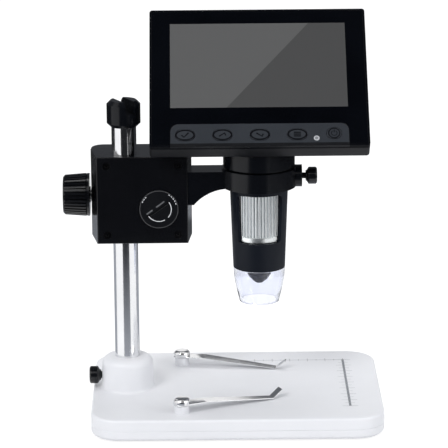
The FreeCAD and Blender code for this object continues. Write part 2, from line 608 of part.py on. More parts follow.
def make_clip(prefix, x, y, turn):
    side = new_body(prefix + "_side")
    profile = pad(side, clip_strip_profile(side, prefix + "_side_view"), "clip_root_width")
    profile.Midplane = True
    plan = new_body(prefix + "_plan")
    heel_side, heel_end = "(clip_root_width / 2 - clip_heel_bevel)", "(clip_heel_bevel - clip_heel)"
    points = [("-clip_heel", f"-{heel_side}"), (heel_end, "-clip_root_width / 2"),
              ("clip_flat", "-clip_root_width / 2"),
              ("clip_reach + clip_toe", "-clip_toe_width / 2"),
              ("clip_reach + clip_toe", "clip_toe_width / 2"),
              ("clip_flat", "clip_root_width / 2"), (heel_end, "clip_root_width / 2"),
              ("-clip_heel", heel_side)]
    pad(plan, outline(plan, prefix + "_plan_view", "XY_Plane", points, "-clip_boss_height * 2"),
        "clip_boss_height * 4")
    hole = cylinder(prefix + "_hole", "clip_pin_radius + press_fit", "clip_steel * 2",
                    ("0", "0", "-clip_steel / 2"))
    strip = cut(prefix + "_strip", common(prefix + "_blank", side, plan), hole)
    turn_about_z(strip, (x, y, CLIP_SEAT), turn)
    finished(prefix + "_strip", strip)

    stud = new_body(prefix + "_stud")
    points = [("0", "-clip_pin_depth"), ("clip_pin_radius", "-clip_pin_depth"),
              ("clip_pin_radius", "clip_steel"), ("clip_cap_radius", "clip_steel"),
              ("clip_cap_radius", "clip_steel + clip_cap_height"),
              ("0", "clip_steel + clip_cap_height")]
    turned(stud, outline(stud, prefix + "_stud_profile", "XZ_Plane", points))
    round_edges(stud, prefix + "_cap_dome",
                level_at(value("clip_steel + clip_cap_height")), "clip_cap_round")
    place(stud, (x, y, CLIP_SEAT))
    finished(prefix + "_stud", stud)


def case_points(inset_side, inset_front, back):
    """Plan of the carriage case: a flat front whose sides spread towards the seam."""
    return [(f"post_x - case_left + {inset_side}", f"-case_front + {inset_front}"),
            (f"post_x + case_right - {inset_side}", f"-case_front + {inset_front}"),
            (f"post_x + case_right_wide - {inset_side}", back),
            (f"post_x - case_left_wide + {inset_side}", back)]


def case_screw_places():
    half = "case_screw_span / 2"
    return [(f"{CASE_MID_X} + {i} * {half}", f"{CASE_MID_Z} + {j} * {half}")
            for i in (-1, 1) for j in (-1, 1)]


def drive_bores(prefix):
    """The bore in the left wall and the blind bore in the right wall for the drive shaft."""
    radius = "shaft_radius + shaft_fit + shaft_bush_wall"
    left = cylinder(prefix + "_left_bore", radius, "case_wall * 2",
                    ("post_x - case_left_wide - case_wall / 2", SHAFT_Y, "drive_z"), "x")
    right = cylinder(prefix + "_right_bore", radius, "case_wall * 2",
                     ("post_x + case_right_wide - case_wall * 5 / 2", SHAFT_Y, "drive_z"), "x")
    return left, right


def arm_screw_heights():
    return [f"{RING_MID} - arm_screw_rise + {lift}" for lift in ("arm_screw_rise", "-arm_screw_rise")]


WALL_MID_INNER = ("(post_x + case_right - case_wall + (case_right_wide - case_right)"
                  f" * case_front / (case_front + {SHAFT_Y}))")


def make_carriage_front_shell():
    body = new_body("carriage_front_body")
    plan = outline(body, "front_shell_plan", "XY_Plane", case_points("0", "0", SHAFT_Y), "case_low")
    pad(body, plan, "case_height")
    front = value("-case_front")
    round_edges(body, "front_face_edges",
                lambda edge: abs(edge.BoundBox.YMin - front) < MIN_CHANGE
                and abs(edge.BoundBox.YMax - front) < MIN_CHANGE, "case_edge_round")
    cavity = outline(body, "front_shell_cavity", "XY_Plane",
                     case_points("case_wall", "case_front_wall", f"{SHAFT_Y} + case_wall"),
                     "case_low + case_lid")
    pocket(body, cavity, "case_height - 2 * case_lid", flip=True)
    bosses = [(x, z, "case_screw_boss") for x, z in case_screw_places()]
    pad(body, rings(body, "front_screw_bosses", "XZ_Plane", bosses, f"-{SHAFT_Y}"),
        f"{SHAFT_Y} + case_front - case_front_wall / 2")
    shoe_low = "dial_z - shoe_width / 2 - shoe_slack - shoe_guide"
    for side, low in (("low", shoe_low), ("high", "dial_z + shoe_width / 2 + shoe_slack")):
        guide = slab(body, f"shoe_guide_{side}", "XZ_Plane", "post_x + post_radius + shoe_channel",
                     f"{DIAL_X} - cam_radius - cam_gap - cam_offset", low,
                     f"{low} + shoe_guide", "0", "case_front - case_front_wall / 2")
        pad(body, guide, "shoe_depth + case_front_wall / 2", flip=True)
    channel = rings(body, "post_channel", "XY_Plane",
                    [("post_x", "0", f"{POST_BORE} + channel_gap")], "case_low")
    pocket(body, channel, "case_height", flip=True)
    bushes = rings(body, "bush_seats", "XY_Plane", [("post_x", "0", f"{POST_BORE} + bush_wall")],
                   "case_low")
    pocket(body, bushes, "case_lid", flip=True)
    upper = rings(body, "upper_bush_seat", "XY_Plane",
                  [("post_x", "0", f"{POST_BORE} + bush_wall")], CASE_TOP)
    pocket(body, upper, "case_lid")
    dial = rings(body, "dial_recess", "XZ_Plane", [(DIAL_X, "dial_z", "dial_radius + dial_gap")],
                 "case_front")
    pocket(body, dial, "dial_sink")
    dial_hole = rings(body, "dial_shaft_hole", "XZ_Plane",
                      [(DIAL_X, "dial_z", "dial_shaft_radius + shaft_fit")], "case_front")
    pocket(body, dial_hole, "case_front_wall * 2")
    sinks = [(x, z, "case_screw_head + press_fit") for x, z in case_screw_places()]
    pocket(body, rings(body, "front_screw_sinks", "XZ_Plane", sinks, "case_front"),
           "case_screw_sink")
    shanks = [(x, z, "case_screw_shank + press_fit") for x, z in case_screw_places()]
    pocket(body, rings(body, "front_screw_holes", "XZ_Plane", shanks, "case_front"),
           "case_front + case_back")
    holes = list(drive_bores("front"))
    for i, height in enumerate(arm_screw_heights()):
        holes.append(cylinder(f"arm_screw_hole_{i}", "case_screw_shank + press_fit",
                              "case_wall * 4", (f"{WALL_MID_INNER} - case_wall", "0", height), "x"))
        holes.append(cylinder(f"arm_screw_seat_{i}", "case_screw_head + press_fit",
                              "case_wall + arm_screw_sink",
                              (f"{WALL_MID_INNER} - case_wall", "0", height), "x"))
    finished("carriage_front_shell", cut("carriage_front_shell", body, *holes))


def make_carriage_rear_shell():
    body = new_body("carriage_rear_body")
    plan = slab(body, "rear_shell_plan", "XY_Plane", "post_x - case_left_wide",
                "post_x + case_right_wide", SHAFT_Y, "case_back", "0", "case_low")
    pad(body, plan, "case_height")
    back = value("case_back")
    round_edges(body, "rear_corners",
                lambda edge: abs(edge.BoundBox.YMin - back) < MIN_CHANGE
                and edge.BoundBox.ZLength > value("case_height") - MIN_CHANGE, "case_back_round")
    round_edges(body, "rear_face_edges",
                lambda edge: abs(edge.BoundBox.YMax - back) < MIN_CHANGE
                and edge.BoundBox.ZLength < MIN_CHANGE, "case_edge_round * 2")
    cavity = slab(body, "rear_shell_cavity", "XY_Plane", "post_x - case_left_wide + case_wall",
                  "post_x + case_right_wide - case_wall", f"{SHAFT_Y} - case_wall",
                  "case_back - case_wall", "case_back_round - case_wall", "case_low + case_lid")
    pocket(body, cavity, "case_height - 2 * case_lid", flip=True)
    bosses = [(x, z, "case_screw_boss") for x, z in case_screw_places()]
    pad(body, rings(body, "rear_screw_bosses", "XZ_Plane", bosses, f"-{SHAFT_Y}"),
        f"case_back - {SHAFT_Y} - case_wall / 2", flip=True)
    pilots = [(x, z, "case_screw_shank + press_fit") for x, z in case_screw_places()]
    pocket(body, rings(body, "rear_screw_pilots", "XZ_Plane", pilots, f"-{SHAFT_Y}"),
           "case_screw_bite", flip=False)
    finished("carriage_rear_shell", cut("carriage_rear_shell", body, *drive_bores("rear")))


def make_case_screws():
    screws = []
    seat = "(-case_front + case_screw_sink)"
    for i, (x, z) in enumerate(case_screw_places()):
        head = cylinder(f"case_screw_head_{i}", "case_screw_head", "case_screw_head_rise",
                        (x, f"{seat} - case_screw_head_rise", z), "y")
        shank = cylinder(f"case_screw_shank_{i}", "case_screw_shank",
                         f"{SHAFT_Y} + case_screw_bite - press_fit - {seat}", (x, seat, z), "y")
        socket = doc.addObject("Part::Prism", f"case_screw_socket_{i}")
        socket.Polygon = 6
        bind(socket, Circumradius="case_screw_shank * 3 / 4", Height="case_screw_head_rise / 2")
        place(socket, (x, f"{seat} - case_screw_head_rise", z), "y")
        screws.append(cut(f"case_screw_{i}", fuse(f"case_screw_blank_{i}", head, shank), socket))
    finished("case_screws", group("case_screws", screws))


def tube(name, outer, inner, height, at, along="z"):
    return cut(name, cylinder(name + "_outer", outer, height, at, along),
               cylinder(name + "_inner", inner, height, at, along))


def make_guide_bushes():
    bushes = [tube(f"guide_bush_{i}", f"{POST_BORE} + bush_wall - press_fit", POST_BORE,
                   "case_lid", ("post_x", "0", low))
              for i, low in enumerate(("case_low", f"{CASE_TOP} - case_lid"))]
    finished("guide_bushes", group("guide_bushes", bushes))


def make_shaft_bushes():
    starts = ("post_x - case_left_wide", "post_x + case_right_wide - case_wall * 5 / 2")
    lengths = ("case_wall * 3 / 2", "case_wall * 2")
    bushes = [tube(f"shaft_bush_{i}", "shaft_radius + shaft_fit + shaft_bush_wall - press_fit",
                   "shaft_radius + shaft_fit", length, (start, SHAFT_Y, "drive_z"), "x")
              for i, (start, length) in enumerate(zip(starts, lengths))]
    finished("shaft_bushes", group("shaft_bushes", bushes))


def make_holder_arm():
    arm = new_body("arm_body")
    root = "(post_x + case_right - case_wall)"
    arc_end = f"({HEAD_X} - seat_radius - seat_gap / 2)"
    arc_drop = "(arm_root_drop - ring_height)"
    sketch = new_sketch(arm, "arm_side_view", "XZ_Plane", "0")
    top, low = value(f"{RING_TOP} - arm_top_drop"), value("ring_low")
    left, right = value(root), value(arc_end)
    radius = value("arm_arc_radius")
    centre = FreeCAD.Vector(right, low - radius, 0)
    foot_z = value(f"{RING_TOP} - arm_root_drop")
    foot_x = right - (radius ** 2 - (foot_z - low + radius) ** 2) ** 0.5
    corners = [FreeCAD.Vector(foot_x, foot_z, 0), FreeCAD.Vector(left, foot_z, 0),
               FreeCAD.Vector(left, top, 0), FreeCAD.Vector(right, top, 0),
               FreeCAD.Vector(right, low, 0)]
    for begin, end in zip(corners, corners[1:]):
        sketch.addGeometry(Part.LineSegment(begin, end), False)
    circle = Part.Circle(centre, FreeCAD.Vector(0, 0, 1), radius)
    sketch.addGeometry(Part.ArcOfCircle(circle, circle.parameter(corners[4]),
                                        circle.parameter(corners[0])), False)
    for i in range(3):
        sketch.addConstraint(Sketcher.Constraint("Coincident", i, 2, i + 1, 1))
    sketch.addConstraint(Sketcher.Constraint("Coincident", 3, 2, 4, 1))
    sketch.addConstraint(Sketcher.Constraint("Coincident", 4, 2, 0, 1))
    pin_point(sketch, 0, 2, root, f"{RING_TOP} - arm_root_drop")
    pin_point(sketch, 2, 1, root, f"{RING_TOP} - arm_top_drop")
    pin_point(sketch, 3, 1, arc_end, f"{RING_TOP} - arm_top_drop")
    pin_point(sketch, 3, 2, arc_end, "ring_low")
    sketch.addConstraint(Sketcher.Constraint("Horizontal", 0))
    pin_point(sketch, 4, 3, arc_end, "ring_low - arm_arc_radius")
    web = pad(arm, sketch, "arm_width")
    web.Midplane = True
    case = new_body("arm_root_cut_body")
    pad(case, outline(case, "arm_root_cut", "XY_Plane", case_points("0", "0", SHAFT_Y),
                      "case_low"), "case_height")
    ring = cylinder("ring_outer", "ring_radius", "ring_height", (HEAD_X, "0", "ring_low"))
    lug_start = "(collar_step_radius + seat_gap)"
    lug = cylinder("lug_outer", "ring_height / 2 + lug_rise", f"lug_reach - {lug_start}",
                   (f"{HEAD_X} + {lug_start}", "0", RING_MID), "x")
    seat = cylinder("barrel_seat", "seat_radius + seat_gap", "ring_height * 2",
                    (HEAD_X, "0", "ring_low - ring_height / 2"))
    stud = cylinder("ring_stud_hole", "ring_stud_radius + thread_fit", "lug_reach",
                    (HEAD_X, "0", RING_MID), "x")
    insert = cylinder("ring_insert_hole", "ring_stud_radius + thread_fit + ring_insert_wall",
                      "ring_insert_length",
                      (f"{HEAD_X} + lug_reach - ring_insert_length", "0", RING_MID), "x")
    pilots = [cylinder(f"arm_pilot_{i}", "case_screw_shank + press_fit",
                       "case_wall + arm_screw_bite", (WALL_MID_INNER, "0", height), "x")
              for i, height in enumerate(arm_screw_heights())]
    blank = cut("arm_blank", fuse("arm_and_ring", arm, ring, lug), case)
    finished("holder_arm", cut("holder_arm", blank, seat, stud, insert, *pilots))


def make_arm_screws():
    screws = []
    seat = f"{WALL_MID_INNER} + arm_screw_sink"
    for i, height in enumerate(arm_screw_heights()):
        head = cylinder(f"arm_screw_head_{i}", "case_screw_head", "case_screw_head_rise",
                        (f"{seat} - case_screw_head_rise", "0", height), "x")
        shank = cylinder(f"arm_screw_shank_{i}", "case_screw_shank",
                         "arm_screw_bite + case_wall - arm_screw_sink - press_fit",
                         (seat, "0", height), "x")
        screws.append(fuse(f"arm_screw_{i}", head, shank))
    finished("arm_screws", group("arm_screws", screws))


def make_ring_insert():
    at = (f"{HEAD_X} + lug_reach - ring_insert_length", "0", RING_MID)
    insert = tube("ring_insert", "ring_stud_radius + thread_fit + ring_insert_wall",
                  "ring_stud_radius + thread_fit", "ring_insert_length", at, "x")
    finished("ring_insert", insert)


def make_ring_thumbscrew():
    inner_end = f"({HEAD_X} + lug_reach + ring_knob_gap)"
    thumbscrew("ring_thumbscrew", "ring_knob_radius", "ring_knob_length", "ring_stud_radius",
               (inner_end, "0", RING_MID), "x")
    tip = f"({HEAD_X} + seat_radius + stud_tip_gap)"
    stud = cylinder("ring_thumbscrew_stud", "ring_stud_radius",
                    f"{inner_end} + stud_grip - press_fit - {tip}", (tip, "0", RING_MID), "x")
    finished("ring_thumbscrew_stud", stud)


KNOB_INNER = "(post_x - case_left_wide - knob_gap)"


def make_focus_knob():
    body = new_body("focus_knob")
    points = [("0", "0"), ("knob_radius", "0"), ("knob_radius", "knob_flange"),
              ("knob_radius - knob_groove", "knob_flange"),
              ("knob_radius", "knob_flange + knob_groove"),
              ("knob_end_radius", "knob_length - knob_end_bevel"),
              ("knob_end_radius - knob_end_bevel", "knob_length"), ("0", "knob_length")]
    turned(body, outline(body, "knob_profile", "XZ_Plane", points))
    groove = slab(body, "knob_groove_plan", "XY_Plane", "knob_end_radius - knob_groove",
                  "knob_radius + knob_groove", "-knob_groove_width / 2", "knob_groove_width / 2", "0",
                  "knob_flange + knob_groove")
    first = pocket(body, groove, "knob_length", flip=True)
    repeat_round(body, first, "knob_ribs")
    hub = rings(body, "knob_hub", "XY_Plane", [("0", "0", "knob_hub_radius")], "0")
    pad(body, hub, "knob_gap - clip_ring_gap", flip=True)
    bore = rings(body, "knob_bore", "XY_Plane", [("0", "0", "shaft_radius + press_fit")],
                 "-knob_gap")
    pocket(body, bore, "knob_bore_depth + knob_gap", flip=True)
    place(body, (KNOB_INNER, SHAFT_Y, "drive_z"), "-x")
    finished("focus_knob", body)


def make_focus_shaft():
    left = f"({KNOB_INNER} - knob_bore_depth + press_fit)"
    right = "(post_x + case_right_wide - case_wall / 2 - shaft_end_gap)"
    finished("focus_shaft", cylinder("focus_shaft", "shaft_radius", f"{right} - {left}",
                                     (left, SHAFT_Y, "drive_z"), "x"))


def make_friction_roller():
    finished("friction_roller",
             tube("friction_roller", "roller_radius", "shaft_radius + press_fit", "roller_width",
                  ("post_x - roller_width / 2", SHAFT_Y, "drive_z"), "x"))


def make_shaft_clip():
    start = "post_x - case_left_wide + case_wall * 3 / 2 + clip_ring_gap"
    finished("shaft_clip", tube("shaft_clip", "clip_ring_radius", "shaft_radius + press_fit",
                                "clip_ring_thick", (start, SHAFT_Y, "drive_z"), "x"))


DIAL_BACK = "(-case_front + dial_sink - dial_back_gap)"


def make_lock_dial():
    body = new_body("lock_dial")
    disc = rings(body, "dial_disc", "XZ_Plane", [("0", "0", "dial_radius")], "0")
    pad(body, disc, "dial_thick")
    slot = slab(body, "dial_slot", "XZ_Plane", "-dial_slot_length / 2", "dial_slot_length / 2",
                "-dial_slot_width / 2", "dial_slot_width / 2", "0", "dial_thick")
    pocket(body, slot, "dial_slot_depth")
    body.Placement = FreeCAD.Placement(
        FreeCAD.Vector(), FreeCAD.Rotation(FreeCAD.Vector(0, -1, 0), value("dial_slot_turn")))
    body.setExpression("Placement.Rotation.Angle", bound("dial_slot_turn"))
    bind(body, **{"Placement.Base.x": DIAL_X, "Placement.Base.y": DIAL_BACK,
                  "Placement.Base.z": "dial_z"})
    finished("lock_dial", body)


def make_lock_cam():
    shaft = cylinder("cam_shaft", "dial_shaft_radius",
                     f"-case_front + case_front_wall + cam_gap - {DIAL_BACK}",
                     (DIAL_X, DIAL_BACK, "dial_z"), "y")
    cam = cylinder("cam_disc", "cam_radius", "cam_length",
                   (DIAL_X, "-case_front + case_front_wall + cam_gap", "dial_z - cam_offset"), "y")
    finished("lock_cam", fuse("lock_cam", shaft, cam))


def make_brake_shoe():
    left = "post_x + post_radius / 2"
    right = f"({DIAL_X} - cam_radius - cam_gap)"
    block_low = ("post_x + post_radius / 2", "-case_front + case_front_wall + cam_gap",
                 "dial_z - shoe_width / 2")
    blank = block("shoe_blank", block_low, (f"{right} - ({left})", "shoe_depth", "shoe_width"))
    hollow = cylinder("shoe_hollow", "post_radius + shoe_gap", "shoe_width * 2",
                      ("post_x", "0", "dial_z - shoe_width"))
    finished("brake_shoe", cut("brake_shoe", blank, hollow))


FRAME_BACK = "(-frame_thick)"
PANEL_BACK = f"({FRAME_BACK} - panel_thick)"
BOARD_FRONT = f"({PANEL_BACK} - board_space)"
BOARD_BACK = f"({BOARD_FRONT} - board_thick)"
FLOOR_FACE = f"({BOARD_BACK} - board_rise)"
SHELL_BACK = f"({FLOOR_FACE} - shell_floor)"
FACE_LOW = "(-face_low)"
VIEW_LOW = "(chin - face_low)"
VIEW_HIGH = f"({VIEW_LOW} + view_height)"
FACE_HIGH = f"({VIEW_HIGH} + view_drop)"
STRIP_HALF = f"({HALF_W} - strip_inset)"
LAMP = (f"({STRIP_HALF} - lamp_inset)", f"({FACE_LOW} + lamp_rise)")
WIDE = f"({HALF_W} * 4)"


def screen_slab(body, name, inset, offset):
    inset = f"({inset})"
    return rounded(body, name, "XY_Plane", f"-{HALF_W} + {inset}", f"{HALF_W} - {inset}",
                   f"{FACE_LOW} + {inset}", f"{FACE_HIGH} - {inset}",
                   f"screen_corner - {inset} / 2", offset)


def view_slab(body, name, side, rim, offset):
    """A sharp rectangle that runs past the display's view."""
    return slab(body, name, "XY_Plane", f"-view_width / 2 - {side}", f"view_width / 2 + {side}",
                f"{VIEW_LOW} - {rim}", f"{VIEW_HIGH} + {rim}", "0", offset)


def key_slabs():
    """Each key's name, its middle and its width."""
    names = ("ok", "up", "down", "menu")
    pitch = f"((2 * {STRIP_HALF} - key_inset - menu_inset) / {len(names) - 1})"
    keys = [(name, f"(key_inset - {STRIP_HALF} + {i} * {pitch})", f"({FACE_LOW} + key_rise)",
             "key_width") for i, name in enumerate(names)]
    keys.append(("power", f"({STRIP_HALF} - power_inset)", f"({FACE_LOW} + power_rise)",
                 "power_width"))
    return keys


def key_outline(body, name, middle, up, width, grow, offset):
    half_w, half_h = f"({width} / 2 + {grow})", f"(key_height / 2 + {grow})"
    return rounded(body, name, "XY_Plane", f"{middle} - {half_w}", f"{middle} + {half_w}",
                   f"{up} - {half_h}", f"{up} + {half_h}", f"{half_h} - press_fit", offset)


def strip_notch(body, name, grow, offset):
    """The keypad strip's outline: round upper corners, open at the lower edge."""
    grow = f"({grow})"
    return rounded(body, name, "XY_Plane", f"-{STRIP_HALF} - {grow}", f"{STRIP_HALF} + {grow}",
                   f"{FACE_LOW} - strip_corner * 2", f"{FACE_LOW} + strip_height + {grow}",
                   f"strip_corner + {grow}", offset)


def glass_slab(body, name, inset, offset):
    inset = f"({inset})"
    return slab(body, name, "XY_Plane", f"-{HALF_W} + {inset}", f"{HALF_W} - {inset}",
                f"{FACE_LOW} + {inset}", f"{FACE_HIGH} - {inset}", "0", offset)


def make_screen_front_frame():
    body = new_body("screen_front_frame")
    pad(body, screen_slab(body, "frame_plan", "0", FRAME_BACK), "frame_thick")
    pocket(body, glass_slab(body, "glass_recess", "frame_rim", "0"), "glass_thick")
    pocket(body, strip_notch(body, "strip_recess", "0", "0"), "strip_thick")
    pocket(body, view_slab(body, "view_window", "view_margin", "view_margin", "0"), "frame_thick")
    for name, middle, up, width in key_slabs():
        hole = key_outline(body, name + "_frame_hole", middle, up, width,
                           "key_flange + hole_slack", "0")
        pocket(body, hole, "frame_thick")
    lamp = rings(body, "lamp_frame_hole", "XY_Plane",
                 [(*LAMP, "lamp_radius + press_fit")], "0")
    pocket(body, lamp, "frame_thick")
    pilots = rings(body, "frame_screw_pilots", "XY_Plane",
                   [(x, y, "shell_screw_shank + press_fit") for x, y in shell_screw_places()],
                   FRAME_BACK)
    pocket(body, pilots, "shell_screw_bite", flip=True)
    finished("screen_front_frame", lean_back(body))


def shell_screw_places():
    across = f"({HALF_W} - shell_screw_inset)"
    heights = (f"({FACE_LOW} + shell_screw_edge)", f"({FACE_HIGH} - shell_screw_edge)")
    return [(f"{i} * {across}", height) for i in (-1, 1) for height in heights]


def make_screen_glass():
    body = new_body("screen_glass")
    pad(body, glass_slab(body, "glass_plan", "frame_rim + glass_gap", "-glass_thick"),
        "glass_thick")
    pocket(body, strip_notch(body, "glass_notch", "glass_gap", "0"), "glass_thick")
    finished("screen_glass", lean_back(body))


def make_lcd_panel():
    body = new_body("lcd_panel")
    pad(body, view_slab(body, "panel_plan", "panel_side", "panel_rim", PANEL_BACK), "panel_thick")
    finished("lcd_panel", lean_back(body))


def make_keypad_strip():
    body = new_body("keypad_strip")
    blank = strip_notch(body, "strip_plan", "-press_fit", "-strip_thick")
    pad(body, blank, "strip_thick")
    below = slab(body, "strip_lower_edge", "XY_Plane", f"-{WIDE}", WIDE, f"{FACE_LOW} * 2",
                 FACE_LOW, "0", "0")
    pocket(body, below, "strip_thick")
    for name, middle, up, width in key_slabs():
        pocket(body, key_outline(body, name + "_strip_hole", middle, up, width, "key_gap", "0"),
               "strip_thick")
    lamp = rings(body, "lamp_strip_hole", "XY_Plane",
                 [(*LAMP, "lamp_radius + press_fit")], "0")
    pocket(body, lamp, "strip_thick")
    finished("keypad_strip", lean_back(body))


def make_keys():
    for name, middle, up, width in key_slabs():
        body = new_body(name + "_button")
        cap_low = "(-strip_thick - key_flange_gap)"
        cap = key_outline(body, name + "_cap", middle, up, width, "0", cap_low)
        pad(body, cap, f"key_proud - {cap_low}")
        top = value("key_proud")
        round_edges(body, name + "_cap_edge", level_at(top), "key_proud")
        flange = key_outline(body, name + "_flange", middle, up, width, "key_flange", cap_low)
        pad(body, flange, "key_flange_thick", flip=True)
        stem = rings(body, name + "_stem", "XY_Plane", [(middle, up, "key_stem")],
                     f"{cap_low} - key_flange_thick")
        pad(body, stem, f"{cap_low} - key_flange_thick - ({BOARD_FRONT} + switch_height"
            " + switch_gap)", flip=True)
        finished(name + "_button", lean_back(body))


def make_key_switches():
    body_list = []
    for name, middle, up, _ in key_slabs():
        body_list.append(block(f"{name}_switch", (f"{middle} - switch_side / 2",
                                                  f"{up} - switch_side / 2", BOARD_FRONT),
                               ("switch_side", "switch_side", "switch_height")))
    finished("key_switches", lean_back(group("key_switches", body_list)))


def make_status_lamp():
    lamp = cylinder("status_led", "lamp_radius", f"lamp_proud - {BOARD_FRONT}",
                    (*LAMP, BOARD_FRONT))
    finished("status_led", lean_back(group("status_led", [lamp])))


def make_main_board():
    half, low = f"({HALF_W} - board_side)", f"({FACE_LOW} + board_low_inset)"
    blank = block("main_board_blank", (f"-{half}", low, BOARD_BACK),
                  (f"{half} * 2", f"{FACE_HIGH} - board_high_inset - {low}", "board_thick"))
    notches = [cylinder(f"main_board_notch_{i}", "shell_screw_boss + board_notch_gap",
                        "board_thick * 2", (x, y, f"{BOARD_BACK} - board_thick / 2"))
               for i, (x, y) in enumerate(shell_screw_places())]
    finished("main_board", lean_back(cut("main_board", blank, *notches)))


def port_blocks(prefix, grow, reach):
    """The socket at the left edge and the card slot at the right edge of the housing."""
    low = f"{BOARD_FRONT} - {grow}"
    usb = block(prefix + "_usb",
                (f"-{HALF_W} + port_inset - {reach}",
                 f"{FACE_LOW} + usb_rise - usb_width / 2 - {grow}", low),
                (f"usb_length + {reach}", f"usb_width + 2 * {grow}", f"usb_height + 2 * {grow}"))
    card = block(prefix + "_card",
                 (f"{HALF_W} - port_inset - card_length",
                  f"{FACE_LOW} + card_rise - card_width / 2 - {grow}", low),
                 (f"card_length + {reach}", f"card_width + 2 * {grow}",
                  f"board_space - glass_gap + 2 * {grow}"))
    return usb, card


def make_ports():
    usb, card = port_blocks("port", "0", "0")
    usb_hollow = block("usb_hollow", (f"-{HALF_W} - port_inset",
                                      f"{FACE_LOW} + usb_rise - usb_width / 2 + usb_wall",
                                      f"{BOARD_FRONT} + usb_wall"),
                       ("usb_mouth + port_inset * 2", "usb_width - 2 * usb_wall",
                        "usb_height - 2 * usb_wall"))
    card_hollow = block("card_hollow", (f"{HALF_W} - port_inset - card_mouth",
                                        f"{FACE_LOW} + card_rise - card_width / 2 + card_wall",
                                        f"{BOARD_FRONT} + card_wall"),
                        ("card_mouth * 2", "card_width - 2 * card_wall",
                         "board_space - glass_gap - 2 * card_wall"))
    finished("usb_port", lean_back(cut("usb_port", usb, usb_hollow)))
    finished("card_slot", lean_back(cut("card_slot", card, card_hollow)))


HUMP_LOW = f"({FACE_LOW} + hump_up)"
HUMP_HIGH = f"({HUMP_LOW} + hump_height)"
HUMP_FLOOR = f"({SHELL_BACK} - hump_rise + shell_wall)"


def make_battery():
    cell = block("battery_cell", ("battery_side - hump_half", f"{HUMP_LOW} + battery_up",
                                  HUMP_FLOOR),
                 ("battery_length", "battery_width", "battery_thick"))
    finished("battery", lean_back(group("battery", [cell])))


DIMMER_X = "(hump_half + dimmer_proud - dimmer_radius)"
DIMMER_UP = f"({HUMP_LOW} + dimmer_up)"
DIMMER_LOW = f"({HUMP_FLOOR} + dimmer_thick)"


def make_dimmer_wheel():
    body = new_body("dimmer_wheel")
    disc = rings(body, "dimmer_disc", "XY_Plane", [("0", "0", "dimmer_radius")], "0")
    pad(body, disc, "dimmer_thick")
    notch = rings(body, "dimmer_notch", "XY_Plane", [("dimmer_radius", "0", "dimmer_rib_radius")], "0")
    repeat_round(body, pocket(body, notch, "dimmer_thick", flip=True), "dimmer_ribs")
    axle = rings(body, "dimmer_axle_plan", "XY_Plane", [("0", "0", "dimmer_axle")], "0")
    pad(body, axle, "dimmer_thick - dimmer_gap / 2", flip=True)
    finished("dimmer_wheel", body)
    lean = "90 - screen_lean"
    body.Placement = FreeCAD.Placement(
        FreeCAD.Vector(), FreeCAD.Rotation(FreeCAD.Vector(1, 0, 0), value(lean)))
    body.setExpression("Placement.Rotation.Angle", bound(lean))
    bind(body, **{"Placement.Base.x": f"{HEAD_X} + {DIMMER_X}",
                  "Placement.Base.y": f"face_y + {DIMMER_UP} * cos({lean}) - {DIMMER_LOW} * sin({lean})",
                  "Placement.Base.z": f"face_z + {DIMMER_UP} * sin({lean}) + {DIMMER_LOW} * cos({lean})"})


